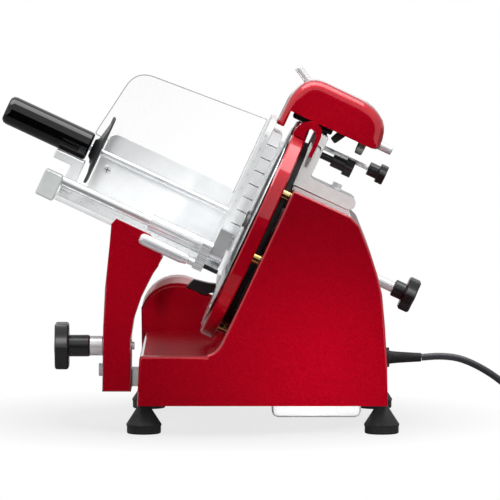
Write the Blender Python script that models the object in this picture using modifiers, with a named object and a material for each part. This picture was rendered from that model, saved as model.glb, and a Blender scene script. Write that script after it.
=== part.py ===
"""Electric gravity-feed slicer, modelled at rest. Sizes are in millimetres here and metres in the scene."""

import math

import bmesh
import bpy
from mathutils import Matrix, Vector

# Placement
SHIFT_X = 52.4
SHIFT_Y = -20.0
TILT = math.radians(25.0)
BLADE_CENTRE = (-9.5, 0.0, 197.5)

# Base
DECK_REAR = -145.0
DECK_FRONT = 150.0
DECK_TOP = 79.0
DECK_BOTTOM = 29.0
WALL = 3.5
BODY_FRONT = 40.0
TOWER_FACE = DECK_FRONT + 16.0
TOWER_RIM = TOWER_FACE + 2.5
DIAL_AXIS = (-89.0, 98.0)
DIAL_RADIUS = 38.0
DIAL_DEPTH = 16.0
SWITCH_Z = 54.0
FOOT_INSET = 20.0
HUB_Y = -20.0

# Blade and drive
BLADE_RADIUS = 110.0
MOTOR_V = -75.0
TIE_V = 6.0

# Carriage
ROD_X = -95.0
ROD_Z = 52.0
PIVOT_Y = -90.0
PIVOT_V = -33.3
HANDLE_START = -185.3
HANDLE_LENGTH = 93.7
HANDLE_RADIUS = 15.0
COVER_TOP = 166.0
COVER_BOTTOM = 125.5
COVER_REAR = -52.0
COVER_FRONT = 12.0
COVER_WALL = 3.2

RED = ((0.36, 0.006, 0.012, 1.0), 0.25, 0.55)
ALUMINIUM = ((0.72, 0.73, 0.74, 1.0), 0.32, 1.0)
CAST = ((0.6, 0.61, 0.62, 1.0), 0.45, 0.9)
CHROME = ((0.85, 0.86, 0.88, 1.0), 0.08, 1.0)
STEEL = ((0.62, 0.62, 0.63, 1.0), 0.22, 1.0)
BLACK = ((0.012, 0.012, 0.013, 1.0), 0.35, 0.0)
RUBBER = ((0.02, 0.02, 0.021, 1.0), 0.7, 0.0)
CLEAR = ((0.9, 0.93, 0.94, 0.35), 0.05, 0.0)
BRASS = ((0.7, 0.52, 0.25, 1.0), 0.3, 1.0)
DARK_STONE = ((0.1, 0.1, 0.105, 1.0), 0.9, 0.0)
GREEN_STONE = ((0.24, 0.29, 0.26, 1.0), 0.9, 0.0)
ROSE = ((0.86, 0.62, 0.62, 1.0), 0.35, 0.0)
WHITE = ((0.78, 0.78, 0.76, 1.0), 0.4, 0.0)
BUTTON_GREEN = ((0.02, 0.3, 0.08, 1.0), 0.35, 0.0)
BUTTON_RED = ((0.5, 0.01, 0.01, 1.0), 0.35, 0.0)

TURN = {
    "X": Matrix(((0, 0, 1, 0), (1, 0, 0, 0), (0, 1, 0, 0), (0, 0, 0, 1))),
    "Y": Matrix(((0, 1, 0, 0), (0, 0, 1, 0), (1, 0, 0, 0), (0, 0, 0, 1))),
    "Z": Matrix.Identity(4),
}
FLAT = {
    "YZ": TURN["X"],
    "XZ": Matrix.Rotation(math.radians(90.0), 4, "X"),
    "XY": Matrix.Identity(4),
}

for old in list(bpy.data.objects):
    bpy.data.objects.remove(old)

parts = bpy.data.collections.new("meat_slicer")
cutters = bpy.data.collections.new("cutters")
bpy.context.scene.collection.children.link(parts)
bpy.context.scene.collection.children.link(cutters)
cutters.hide_render = True


def metres(*values):
    return Vector([value / 1000.0 for value in values])


def place(found, matrix, parent=None):
    """Gives an object its world matrix, also under a parent."""
    if parent:
        found.parent = parent
        found.matrix_parent_inverse = worlds[parent.name].inverted()
    found.matrix_basis = matrix
    worlds[found.name] = matrix
    return found


def joint_empty(name, frame, at, parent=None):
    """An empty on a joint's axis, which carries the pieces that move with it."""
    found = bpy.data.objects.new(name, None)
    found.empty_display_size = 0.03
    parts.objects.link(found)
    return place(found, frame @ Matrix.Translation(metres(*at)), parent)


worlds = {}
ROOT = Matrix.Translation(metres(SHIFT_X, SHIFT_Y, 0.0))
BLADE = ROOT @ Matrix.Translation(metres(*BLADE_CENTRE)) @ Matrix.Rotation(TILT, 4, "Y")


def new_object(name, data, frame, local, carrier, helper=False):
    found = bpy.data.objects.new(name, data)
    (cutters if helper else parts).objects.link(found)
    if helper:
        found.hide_render = True
        found.display_type = "WIRE"
    return place(found, frame @ local, carrier)


def box(name, frame, low, high, carrier=None, helper=False, bevel=0.0, segments=2):
    """A block between two corners, its edges rounded by a Bevel."""
    centre = [(a + b) / 2 for a, b in zip(low, high)]
    size = [abs(b - a) / 1000 for a, b in zip(low, high)]
    shape = bmesh.new()
    bmesh.ops.create_cube(shape, size=1.0)
    bmesh.ops.scale(shape, vec=size, verts=shape.verts)
    data = bpy.data.meshes.new(name)
    shape.to_mesh(data)
    shape.free()
    found = new_object(name, data, frame, Matrix.Translation(metres(*centre)), carrier, helper)
    if bevel:
        rounded(found, bevel, segments)
    return found


def rounded(found, width, segments=2, weights=False, angle=35.0):
    modifier = found.modifiers.new("rounding", "BEVEL")
    modifier.width = width / 1000
    modifier.segments = segments
    if weights:
        modifier.limit_method = "WEIGHT"
    else:
        modifier.limit_method = "ANGLE"
        modifier.angle_limit = math.radians(angle)
    return modifier


def rod(name, frame, axis, at, length, radius, carrier=None, helper=False, steps=24, bevel=0.0, tip=None):
    """A cylinder or cone that starts at a point and runs along +axis."""
    shape = bmesh.new()
    bmesh.ops.create_cone(
        shape,
        cap_ends=True,
        segments=steps,
        radius1=radius / 1000,
        radius2=(radius if tip is None else tip) / 1000,
        depth=length / 1000,
    )
    data = bpy.data.meshes.new(name)
    shape.to_mesh(data)
    shape.free()
    local = Matrix.Translation(metres(*at)) @ TURN[axis] @ Matrix.Translation(metres(0, 0, length / 2))
    found = new_object(name, data, frame, local, carrier, helper)
    if bevel:
        rounded(found, bevel, 1, angle=50.0)
    return found


def turned(name, frame, axis, at, profile, carrier=None, helper=False, steps=32, closed=False):
    """A profile of (radius, height) turned about an axis with a Screw. It runs top to bottom outside."""
    shape = bmesh.new()
    points = [shape.verts.new(metres(radius, 0, height)) for radius, height in profile]
    for first, second in zip(points, points[1:] + ([points[0]] if closed else [])):
        shape.edges.new((first, second))
    data = bpy.data.meshes.new(name)
    shape.to_mesh(data)
    shape.free()
    found = new_object(name, data, frame, Matrix.Translation(metres(*at)) @ TURN[axis], carrier, helper)
    screw = found.modifiers.new("turning", "SCREW")
    screw.steps = steps
    screw.render_steps = steps
    screw.use_merge_vertices = True
    screw.merge_threshold = 0.00001
    return found


def ring(name, frame, axis, at, inner, outer, low, high, carrier=None, helper=False, steps=32, edge=0.0):
    """A turned tube with small chamfers."""
    profile = [
        (inner, high),
        (outer - edge, high),
        (outer, high - edge),
        (outer, low + edge),
        (outer - edge, low),
        (inner, low),
    ]
    if not edge:
        profile = [(inner, high), (outer, high), (outer, low), (inner, low)]
    return turned(name, frame, axis, at, profile, carrier, helper, steps, closed=True)


def meshed(curve):
    """The curve's evaluated mesh with its caps welded, in place of the curve."""
    bpy.context.view_layer.update()
    graph = bpy.context.evaluated_depsgraph_get()
    data = bpy.data.meshes.new_from_object(curve.evaluated_get(graph))
    shape = bmesh.new()
    shape.from_mesh(data)
    bmesh.ops.remove_doubles(shape, verts=shape.verts, dist=0.00001)
    bmesh.ops.dissolve_limit(shape, angle_limit=0.01, verts=shape.verts, edges=shape.edges)
    bmesh.ops.recalc_face_normals(shape, faces=shape.faces)
    shape.to_mesh(data)
    shape.free()
    name = curve.name
    bpy.data.objects.remove(curve)
    data.name = name
    return data


def plate(name, frame, plane, outline, low, high, carrier=None, helper=False, holes=()):
    """A flat outline, with any holes, between two heights along its normal axis."""
    curve = bpy.data.curves.new(name + "_outline", "CURVE")
    curve.dimensions = "2D"
    curve.fill_mode = "BOTH"
    curve.extrude = abs(high - low) / 2000
    for loop in (outline, *holes):
        spline = curve.splines.new("POLY")
        spline.points.add(len(loop) - 1)
        spline.use_cyclic_u = True
        for point, (x, y) in zip(spline.points, loop):
            point.co = (x / 1000, y / 1000, 0, 1)
    guide = bpy.data.objects.new(name + "_outline", curve)
    parts.objects.link(guide)
    data = meshed(guide)
    middle = (low + high) / 2
    offset = {"YZ": (middle, 0, 0), "XZ": (0, middle, 0), "XY": (0, 0, middle)}[plane]
    return new_object(name, data, frame, Matrix.Translation(metres(*offset)) @ FLAT[plane], carrier, helper)


def weigh(found, chosen, weight=1.0):
    """Marks the edges whose two ends pass a test, for a Bevel by weight."""
    layer = found.data.attributes.get("bevel_weight_edge") or found.data.attributes.new(
        "bevel_weight_edge", "FLOAT", "EDGE"
    )
    points = found.data.vertices
    for edge in found.data.edges:
        ends = [points[index].co * 1000 for index in edge.vertices]
        if chosen(*ends):
            layer.data[edge.index].value = weight


def boolean(target, operation, others):
    for other in others:
        modifier = target.modifiers.new(f"{operation.lower()} {other.name}", "BOOLEAN")
        modifier.operation = operation
        modifier.solver = "EXACT"
        modifier.object = other
        if other.name in parts.objects:
            parts.objects.unlink(other)
            cutters.objects.link(other)
        other.hide_render = True
        other.display_type = "WIRE"
    return target


def join(target, *others):
    return boolean(target, "UNION", others)


def cut(target, *others):
    return boolean(target, "DIFFERENCE", others)


def arc(centre, radius, start, end, count):
    """Points on an arc, degrees measured from the first axis to the second."""
    angles = [math.radians(start + (end - start) * i / (count - 1)) for i in range(count)]
    return [(centre[0] + radius * math.cos(a), centre[1] + radius * math.sin(a)) for a in angles]


def smooth_corners(points, radii, count=5):
    """The outline with each corner that has a radius replaced by a quadratic round."""
    found = []
    for i, (corner, radius) in enumerate(zip(points, radii)):
        if not radius:
            found.append(corner)
            continue
        here = Vector(corner)
        before = (Vector(points[i - 1]) - here).normalized()
        after = (Vector(points[(i + 1) % len(points)]) - here).normalized()
        half = before.angle(after) / 2
        reach = radius / math.tan(half)
        middle = here + (before + after).normalized() * (radius / math.sin(half))
        start = here + before * reach - middle
        end = here + after * reach - middle
        for step in range(count):
            blend = start.slerp(end, step / (count - 1)).normalized() * radius
            found.append(tuple(middle + blend))
    return found


def tube(name, frame, points, radius, carrier=None, helper=False, resolution=3):
    """A wire or rail through points, with filled caps, as a mesh."""
    curve = bpy.data.curves.new(name + "_line", "CURVE")
    curve.dimensions = "3D"
    curve.bevel_depth = radius / 1000
    curve.bevel_resolution = resolution
    curve.use_fill_caps = True
    spline = curve.splines.new("POLY")
    spline.points.add(len(points) - 1)
    for point, place_at in zip(spline.points, points):
        point.co = (*metres(*place_at), 1)
    guide = bpy.data.objects.new(name + "_line", curve)
    parts.objects.link(guide)
    return new_object(name, meshed(guide), frame, Matrix.Identity(4), carrier, helper)


def paint(found, finish):
    """Gives a piece its own material."""
    color, roughness, metallic = finish
    material = bpy.data.materials.new(found.name)
    material.use_nodes = True
    shader = material.node_tree.nodes["Principled BSDF"]
    shader.inputs["Base Color"].default_value = (*color[:3], 1.0)
    shader.inputs["Roughness"].default_value = roughness
    shader.inputs["Metallic"].default_value = metallic
    shader.inputs["Alpha"].default_value = color[3]
    found.data.materials.clear()
    found.data.materials.append(material)
    found.data.shade_smooth()
    if not found.modifiers or found.modifiers[0].type != "SCREW":
        found.data.set_sharp_from_angle(angle=math.radians(32.0))
    return found


# Joints
base_empty = joint_empty("base_frame", ROOT, (0, 0, 0))
blade_empty = joint_empty("blade_axis", BLADE, (0, 0, 0), base_empty)
motor_empty = joint_empty("motor_axis", BLADE, (0, 0, MOTOR_V), base_empty)
tie_empty = joint_empty("tie_axis", BLADE, (0, 0, TIE_V), base_empty)
gauge_empty = joint_empty("gauge_slide", BLADE, (-10, 157, -90), base_empty)
dial_empty = joint_empty("dial_axis", ROOT, (-89, 170, 98), base_empty)
carriage_empty = joint_empty("carriage_slide", ROOT, (ROD_X, -70, ROD_Z), base_empty)
lock_empty = joint_empty("carriage_lock_axis", ROOT, (-160, -70, 82.7), carriage_empty)
slider_empty = joint_empty("pusher_slide", BLADE, (-60, PIVOT_Y, PIVOT_V), carriage_empty)
swing_empty = joint_empty("pusher_swing_axis", BLADE, (-25, PIVOT_Y, PIVOT_V), slider_empty)
post_empty = joint_empty("sharpener_lift", BLADE, (22.5, HUB_Y, 100), base_empty)
head_empty = joint_empty("sharpener_turn", BLADE, (22.5, HUB_Y, 130), post_empty)
clamp_empty = joint_empty("sharpener_lock_axis", BLADE, (50, HUB_Y, 99), base_empty)

# Housing: a deck, a tall motor body and a small tower, hollow and open below
deck = plate(
    "housing",
    ROOT,
    "XZ",
    smooth_corners(
        [(-126, 15), (-122.6, DECK_TOP), (121.2, DECK_TOP), (121.2, 15)],
        [0, 4, 0, 0],
        4,
    ),
    DECK_REAR,
    DECK_FRONT,
    base_empty,
)
weigh(deck, lambda a, b: abs(a.z - b.z) < 0.1 and max(a.y, b.y) > 16)
rounded(deck, 4.0, 2, weights=True)
BODY = [
    (-58, 60),
    *arc((-59.6, DECK_TOP + 20.4), 20.4, -77, -25, 5),
    (-24.6, 126.2),
    (30.3, 243.4),
    (86.8, 217.4),
    (96, 208),
    (106.5, 182),
    (113.5, 160),
    (118.3, 140),
    (121.2, 108),
    (123.4, 70),
    (124.2, 15),
    (-30, 15),
]
body = plate("housing_body", ROOT, "XZ", BODY, DECK_REAR, BODY_FRONT, base_empty, helper=True)
weigh(body, lambda a, b: abs(a.z - b.z) < 0.1 and max(a.y, b.y) > 78)
weigh(body, lambda a, b: abs(a.z - b.z) > 1 and a.y > 200, 0.8)
rounded(body, 8.0, 3, weights=True)

body_inside = plate(
    "housing_body_inside",
    ROOT,
    "XZ",
    [
        (-37.4, 15),
        (-37.4, 89.1),
        (32.4, 238.6),
        (84.5, 214),
        (92.5, 206),
        (102.8, 180.5),
        (109.6, 159),
        (114.4, 139.5),
        (117.3, 108),
        (119.4, 70),
        (119.8, 15),
    ],
    DECK_REAR + WALL,
    BODY_FRONT - WALL,
    helper=True,
)
deck_inside = box(
    "housing_deck_inside", ROOT, (-119, DECK_REAR + WALL, 12), (117.4, DECK_FRONT - WALL, DECK_TOP - WALL), helper=True
)
below = box("housing_below", ROOT, (-200, -200, -20), (200, 220, DECK_BOTTOM), helper=True)
TOWER = (-89.5, 87.5)
tower = plate(
    "housing_tower",
    ROOT,
    "XZ",
    [(-125, 15), *arc(TOWER, 38, 160, 65, 9), (-40.5, 106.6), (-37, 103.5), (-36.5, 15)],
    DECK_FRONT - 5,
    TOWER_FACE,
    helper=True,
)
tower_rim = plate(
    "housing_tower_rim",
    ROOT,
    "XZ",
    [(-126.5, 15), *arc(TOWER, 40.5, 159, 65, 9), (-39, 109.2), (-35, 105), (-34.5, 15)],
    TOWER_FACE - 2,
    TOWER_RIM,
    helper=True,
)
tower_inside = plate(
    "housing_tower_inside",
    ROOT,
    "XZ",
    [(-121, 12), *arc(TOWER, 34, 158, 65, 9), (-42.6, 103), (-40.6, 101), (-40.5, 12)],
    DECK_FRONT - 1,
    TOWER_FACE - 2,
    helper=True,
)
gauge_slot = box("housing_gauge_slot", BLADE, (-25, DECK_FRONT + 1.5, -104), (4, TOWER_FACE - 4, -90), helper=True)
hub_hole = rod("housing_hub_hole", BLADE, "X", (8, HUB_Y, 0), 25, 32.4, helper=True, steps=40)
stay_hole = rod("housing_stay_hole", BLADE, "X", (110, HUB_Y, 0), 50, 13.4, helper=True)
neck_slot = box("housing_neck_slot", ROOT, (-135, -124, 40.5), (-112, 44, 62.5), helper=True)
dial_hole = rod("housing_dial_hole", ROOT, "Y", (DIAL_AXIS[0], TOWER_FACE - 6, DIAL_AXIS[1]), 12, 4.6, helper=True)
cord_hole = rod("housing_cord_hole", ROOT, "X", (110, -60, 70), 20, 7.0, helper=True)
switch_hole = box("housing_switch_hole", ROOT, (48, DECK_FRONT - 10, SWITCH_Z - 12), (92, DECK_FRONT + 10, SWITCH_Z + 12), helper=True)
join(deck, body, tower, tower_rim)
cut(
    deck,
    below,
    deck_inside,
    body_inside,
    tower_inside,
    gauge_slot,
    hub_hole,
    stay_hole,
    neck_slot,
    dial_hole,
    cord_hole,
    switch_hole,
)
paint(deck, RED)

base_plate = box(
    "base_plate",
    ROOT,
    (-118.7, DECK_REAR + WALL + 0.3, DECK_BOTTOM + 1),
    (117.1, DECK_FRONT - WALL - 0.3, DECK_BOTTOM + 3),
    base_empty,
)
GUIDES = (("rod", ROD_X, 6.3, 24), ("guide", -70.0, 4.3, 20))
for name, start in (("rod_bracket_rear", DECK_REAR + 7), ("rod_bracket_front", DECK_FRONT - 14)):
    join(base_plate, box(name, ROOT, (-105, start, 31), (-62, start + 8, 62), helper=True))
    for label, x, radius, steps in GUIDES:
        cut(base_plate, rod(f"{name}_{label}", ROOT, "Y", (x, start - 5, ROD_Z), 20, radius, helper=True, steps=steps))
paint(base_plate, CAST)
pan = box("bottom_cover", ROOT, (9, -120, 15), (98, 0, 45), base_empty, bevel=6.0)
cut(
    pan,
    box("bottom_cover_inside", ROOT, (12, -117, 18), (95, -3, 60), helper=True),
    box("bottom_cover_above", ROOT, (0, -130, 29.7), (110, 10, 70), helper=True),
)
paint(pan, CAST)

FEET = {"rear_left": (-1, -1), "rear_right": (1, -1), "front_left": (-1, 1), "front_right": (1, 1)}
for where, (side, end) in FEET.items():
    at = (side * 118.5, (DECK_FRONT - FOOT_INSET - 5) if end > 0 else (DECK_REAR + FOOT_INSET), 0)
    foot = turned(
        f"foot_{where}",
        ROOT,
        "Z",
        at,
        [(0, 28.7), (6.0, 28.7), (6.4, 27), (9.5, 22), (17.6, 9.5), (17.6, 8.2), (17.0, 7), (17.0, 0.8), (16.2, 0), (0, 0)],
        base_empty,
        steps=20,
    )
    paint(foot, RUBBER)

# Motor and drive
motor = turned(
    "motor",
    BLADE,
    "X",
    (0, HUB_Y, MOTOR_V),
    [(0, 130), (36, 130), (42, 126), (42, 68), (36, 63), (12, 63), (12, 60.5), (0, 60.5)],
    base_empty,
    steps=28,
)
join(motor, box("motor_mount", BLADE, (76, -46, -131), (110, 6, -112), helper=True))
paint(motor, CAST)
motor_pulley = turned(
    "motor_pulley",
    BLADE,
    "X",
    (0, HUB_Y, MOTOR_V),
    [(0, 60.2), (5, 60.2), (5, 58), (16.5, 58), (15.5, 57), (15.5, 47), (16.5, 46), (5, 46), (5, 43), (0, 43)],
    motor_empty,
    steps=20,
)
paint(motor_pulley, STEEL)
bearing_housing = turned(
    "bearing_housing",
    BLADE,
    "X",
    (0, HUB_Y, 0),
    [(27.8, 45.5), (32, 45.5), (32, 25), (40, 25), (40, 20.7), (32, 20.7), (32, 12.3), (27.8, 12.3)],
    base_empty,
    steps=28,
    closed=True,
)
paint(bearing_housing, CAST)
bearings = turned(
    "hub_bearings",
    BLADE,
    "X",
    (0, HUB_Y, 0),
    [(17.7, 43), (27.5, 43), (27.5, 18), (17.7, 18), (17.7, 28), (23, 28), (23, 33), (17.7, 33)],
    base_empty,
    steps=20,
    closed=True,
)
paint(bearings, STEEL)
hub_shaft = turned(
    "hub_shaft",
    BLADE,
    "X",
    (0, HUB_Y, 0),
    [
        (14, 58),
        (48, 58),
        (47, 57),
        (47, 47.2),
        (48, 46.2),
        (17.4, 46.2),
        (17.4, 11.5),
        (20, 11.5),
        (20, 3),
        (28, 3),
        (28, -0.5),
        (14, -0.5),
    ],
    blade_empty,
    steps=28,
    closed=True,
)
paint(hub_shaft, STEEL)
blade = turned(
    "blade",
    BLADE,
    "X",
    (0, HUB_Y, 0),
    [(19, -0.8), (90, -0.8), (94, -3.5), (110, -6.8), (110, -7.2), (91.5, -6.6), (89.5, -2.6), (19, -2.6)],
    blade_empty,
    steps=50,
    closed=True,
)
paint(blade, STEEL)
stay_bore = rod("stay_tube_bore", BLADE, "X", (-10, HUB_Y, TIE_V), 160, 5.8, helper=True, steps=20)
stay_tube = rod("stay_tube", BLADE, "X", (-2.8, HUB_Y, 0), 135.8, 13.0, base_empty, steps=28)
cut(stay_tube, stay_bore)
paint(stay_tube, STEEL)
cover_hole = rod("blade_cover_bore", BLADE, "X", (-10, HUB_Y, TIE_V), 20, 5.8, helper=True, steps=20)
blade_cover = turned(
    "blade_cover",
    BLADE,
    "X",
    (0, HUB_Y, 0),
    [(0, -3.1), (86, -3.1), (88, -4.5), (87.2, -7.0), (80, -7.4), (0, -7.4)],
    base_empty,
    steps=50,
)
cut(blade_cover, cover_hole)
paint(blade_cover, ALUMINIUM)
belt_outer = [*arc((HUB_Y, 0), 49.7, -25, 205, 28), *arc((HUB_Y, MOTOR_V), 18.2, 205, 335, 12)]
belt_inner = [*arc((HUB_Y, 0), 47.35, -25, 205, 28), *arc((HUB_Y, MOTOR_V), 15.85, 205, 335, 12)]
belt = plate("drive_belt", BLADE, "YZ", belt_outer, 48.2, 56.2, base_empty, holes=[belt_inner])
paint(belt, RUBBER)

# Ring around the blade
ring_gap = plate(
    "guard_ring_gap",
    BLADE,
    "YZ",
    [(HUB_Y, 0), (HUB_Y + 100, -173), (HUB_Y + 260, -173), (HUB_Y + 260, 173), (HUB_Y + 100, 173)],
    -30,
    30,
    helper=True,
)
guard_ring = turned(
    "guard_ring",
    BLADE,
    "X",
    (0, HUB_Y, 0),
    [(98, 8.8), (117.5, 8.8), (119, 7.3), (119, -4.0), (117.8, -5.5), (115.5, -5.5), (115.5, 5.5), (98, 5.5)],
    base_empty,
    steps=60,
    closed=True,
)
hook = plate(
    "guard_ring_hook",
    BLADE,
    "XZ",
    [
        (-5.0, 106),
        (-5.2, 113),
        (-2, 120),
        (5, 125),
        (13, 126),
        (19, 122.5),
        (21.5, 115),
        (21.5, 92),
        (17.5, 92),
        (17.5, 112),
        (14.5, 117),
        (9, 118.5),
        (6, 115),
        (6, 106),
    ],
    -76,
    -54,
    helper=True,
)
cut(guard_ring, ring_gap)
join(guard_ring, hook)
for number, (y, v) in enumerate(((HUB_Y, -104.5), (-122.3, -20.0), (-110.0, 49.0)), 1):
    join(guard_ring, rod(f"ring_post_{number}", BLADE, "X", (7, y, v), 9.2, 5.2, helper=True, steps=16))
paint(guard_ring, RED)
deflector = box("slice_deflector", BLADE, (18, 40.4, -62), (60, 42, 48), base_empty)
paint(deflector, ALUMINIUM)

tie_rod = turned(
    "tie_rod",
    BLADE,
    "X",
    (0, HUB_Y, TIE_V),
    [(0, 154), (5.5, 154), (5.5, -7.7), (9, -7.7), (9, -11), (8, -12), (0, -12)],
    tie_empty,
    steps=20,
)
paint(tie_rod, STEEL)


def lobes(centre, radius, depth, count, steps=48):
    """A wavy outline for a hand knob."""
    found = []
    for i in range(steps):
        a = 2 * math.pi * i / steps
        reach = radius - depth + depth * math.cos(count * a)
        found.append((centre[0] + reach * math.cos(a), centre[1] + reach * math.sin(a)))
    return found


tie_knob = plate("tie_knob", BLADE, "YZ", lobes((HUB_Y, TIE_V), 19.3, 1.8, 6, 36), 166, 178, tie_empty)
rounded(tie_knob, 1.8, 2, angle=60.0)
join(tie_knob, rod("tie_knob_hub", BLADE, "X", (154.3, HUB_Y, TIE_V), 13, 8.8, helper=True))
paint(tie_knob, BLACK)

# Thickness setting
GAUGE_FRONT = TOWER_FACE + 19
gauge_outline = [*arc((HUB_Y, 0), 113, 48.8, -41.6, 20), (GAUGE_FRONT - 5, -75), (GAUGE_FRONT, -70), (GAUGE_FRONT, 79), (GAUGE_FRONT - 6, 85)]
gauge_plate = plate("gauge_plate", BLADE, "YZ", gauge_outline, -8, -2, gauge_empty)
rounded(gauge_plate, 0.8, 1, angle=60.0)
paint(gauge_plate, ALUMINIUM)
gauge_arm = plate(
    "gauge_arm",
    BLADE,
    "XZ",
    [(-33, -95.1), (-11, -95.1), (-11, -93), (11, -80), (11, -40), (-1.7, -40), (-1.7, -78), (-14, -82), (-29, -85)],
    DECK_FRONT - 1,
    TOWER_FACE - 3,
    gauge_empty,
)
join(
    gauge_arm,
    box("gauge_arm_neck", BLADE, (-22, TOWER_FACE - 9.5, -102), (-14, TOWER_FACE - 4.5, -90), helper=True),
    box("gauge_carrier", BLADE, (-24, TOWER_FACE - 10, -112), (-12, TOWER_FACE - 3, -100.5), helper=True),
)
cut(gauge_arm, rod("gauge_carrier_bore", BLADE, "X", (-40, TOWER_FACE - 6.5, -106), 60, 3.3, helper=True, steps=16))
paint(gauge_arm, CAST)
gauge_rod = rod("gauge_slide_rod", BLADE, "X", (-38, TOWER_FACE - 6.5, -106), 49, 3.0, base_empty, steps=16)
join(
    gauge_rod,
    box("gauge_rod_end_1", BLADE, (-38.5, TOWER_FACE - 10, -109.5), (-34.5, TOWER_FACE - 2.3, -102.5), helper=True),
    box("gauge_rod_end_2", BLADE, (7.0, TOWER_FACE - 10, -109.5), (11.5, TOWER_FACE - 2.3, -102.5), helper=True),
)
paint(gauge_rod, STEEL)
DIAL_BACK = TOWER_RIM + 0.5
dial = turned(
    "thickness_dial",
    ROOT,
    "Y",
    (DIAL_AXIS[0], 0, DIAL_AXIS[1]),
    [
        (0, DIAL_BACK + DIAL_DEPTH),
        (DIAL_RADIUS - 5, DIAL_BACK + DIAL_DEPTH),
        (DIAL_RADIUS - 1.4, DIAL_BACK + DIAL_DEPTH - 2),
        (DIAL_RADIUS, DIAL_BACK + DIAL_DEPTH - 6),
        (DIAL_RADIUS, DIAL_BACK + 3),
        (DIAL_RADIUS - 1.5, DIAL_BACK),
        (4.2, DIAL_BACK),
        (4.2, DIAL_BACK - 14),
        (12, DIAL_BACK - 14),
        (12, DIAL_BACK - 18),
        (0, DIAL_BACK - 18),
    ],
    dial_empty,
    steps=32,
)
paint(dial, ROSE)

# Switch
switch_plate = box("switch_plate", ROOT, (44, DECK_FRONT + 0.3, SWITCH_Z - 16), (96, DECK_FRONT + 2.5, SWITCH_Z + 16), base_empty)
for name, x, finish in (("button_on", 58, BUTTON_GREEN), ("button_off", 82, BUTTON_RED)):
    cut(switch_plate, rod(f"{name}_hole", ROOT, "Y", (x, DECK_FRONT - 10, SWITCH_Z), 20, 8.4, helper=True))
    button_empty = joint_empty(f"{name}_slide", ROOT, (x, DECK_FRONT + 7, SWITCH_Z), base_empty)
    button = rod(name, ROOT, "Y", (x, DECK_FRONT - 3, SWITCH_Z), 10.5, 8.0, button_empty, bevel=0.8)
    paint(button, finish)
paint(switch_plate, BLACK)

# Carriage
ROD_LENGTH = DECK_FRONT - DECK_REAR - 11
carriage_rod = rod("carriage_rod", ROOT, "Y", (ROD_X, DECK_REAR + 6, ROD_Z), ROD_LENGTH, 6.0, base_empty, steps=24)
paint(carriage_rod, CHROME)
guide_bar = rod("guide_bar", ROOT, "Y", (-70, DECK_REAR + 6, ROD_Z), ROD_LENGTH, 4.0, base_empty, steps=16)
paint(guide_bar, CHROME)
block = box("slide_block", ROOT, (-112, -88, 40.5), (-62, -52, 63.5), carriage_empty, bevel=2.0)
join(block, box("slide_block_neck", ROOT, (-131.5, -85, 43), (-110, -55, 60), helper=True))
for label, x, radius, steps in GUIDES:
    cut(block, rod(f"slide_block_{label}", ROOT, "Y", (x, -120, ROD_Z), 100, radius, helper=True, steps=steps))
paint(block, CAST)

leg = plate(
    "carriage_leg",
    ROOT,
    "XZ",
    [
        (-160.5, 40),
        (-159.5, 104),
        (-157.5, 144),
        (-151, 204.9),
        (-112.8, 187.1),
        (-103, 182.3),
        (-99.8, 174),
        (-110, 157),
        (-121, 135),
        (-128.5, 113),
        (-131.8, 92),
        (-131.8, 40),
    ],
    -112,
    -50,
    carriage_empty,
)
weigh(leg, lambda a, b: abs(a.z - b.z) < 0.1)
rounded(leg, 2.5, 2, weights=True)
cheek = plate(
    "carriage_leg_cheek",
    ROOT,
    "XZ",
    [(-156, 150), (-151, 208), (-146, 213.5), (-112, 197.6), (-101.2, 180), (-104, 166), (-122, 141)],
    -111.5,
    -100.6,
    helper=True,
)
join(leg, cheek)
cut(leg, rod("carriage_leg_bore", ROOT, "X", (-175, -70, 82.7), 60, 4.3, helper=True, steps=16))
join(leg, rod("leg_bolt", ROOT, "X", (-165, -70, 58.5), 8, 6.5, helper=True, steps=6))
paint(leg, RED)
lock_knob = plate("carriage_lock_knob", ROOT, "YZ", lobes((-70, 82.7), 26, 2.4, 6, 36), -209, -195, lock_empty)
rounded(lock_knob, 2.2, 2, angle=60.0)
lock_hub = turned(
    "carriage_lock_hub",
    ROOT,
    "X",
    (0, -70, 82.7),
    [(0, -129), (4, -129), (4, -161), (10, -161), (10, -174), (11, -175), (11, -200), (0, -200)],
    helper=True,
    steps=24,
)
join(lock_knob, lock_hub)
paint(lock_knob, BLACK)

tray = box("tray_plate", BLADE, (-195.5, -100, -52.5), (-11, 105, -47.5), carriage_empty, bevel=1.2)
paint(tray, ALUMINIUM)
wall = plate(
    "tray_wall",
    BLADE,
    "XZ",
    smooth_corners([(-172, -52.5), (-172, 22), (-30, 22), (-30, -52.5)], [0, 9, 9, 0], 5),
    105.3,
    109.3,
    carriage_empty,
)
paint(wall, ALUMINIUM)
clear = plate(
    "clear_guard",
    BLADE,
    "XZ",
    smooth_corners([(-178, 8), (-178, 93), (-50, 93), (-27, 8)], [4, 20, 18, 4], 7),
    109.6,
    112.4,
    carriage_empty,
)
paint(clear, CLEAR)
slide_rod = rod("slide_rod", BLADE, "X", (-195.5, PIVOT_Y, PIVOT_V), 178.2, 5.0, carriage_empty, steps=24)
paint(slide_rod, CHROME)
end_block = box("end_block", BLADE, (-215, -100, -55.5), (-195.8, -80, -28), carriage_empty, bevel=2.0)
paint(end_block, ALUMINIUM)
join(tray, box("rod_support", BLADE, (-17, -98, -50), (-11.3, -82, -26.5), helper=True))
handle_rest = plate(
    "handle_rest",
    BLADE,
    "XZ",
    [(-215, -20.8), (-215, -11.8), (-183, -11.8), (-183, -47.2), (-195.3, -47.2), (-195.3, -20.8)],
    -5,
    25,
    carriage_empty,
)
rounded(handle_rest, 1.0, 1)
paint(handle_rest, ALUMINIUM)

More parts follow.
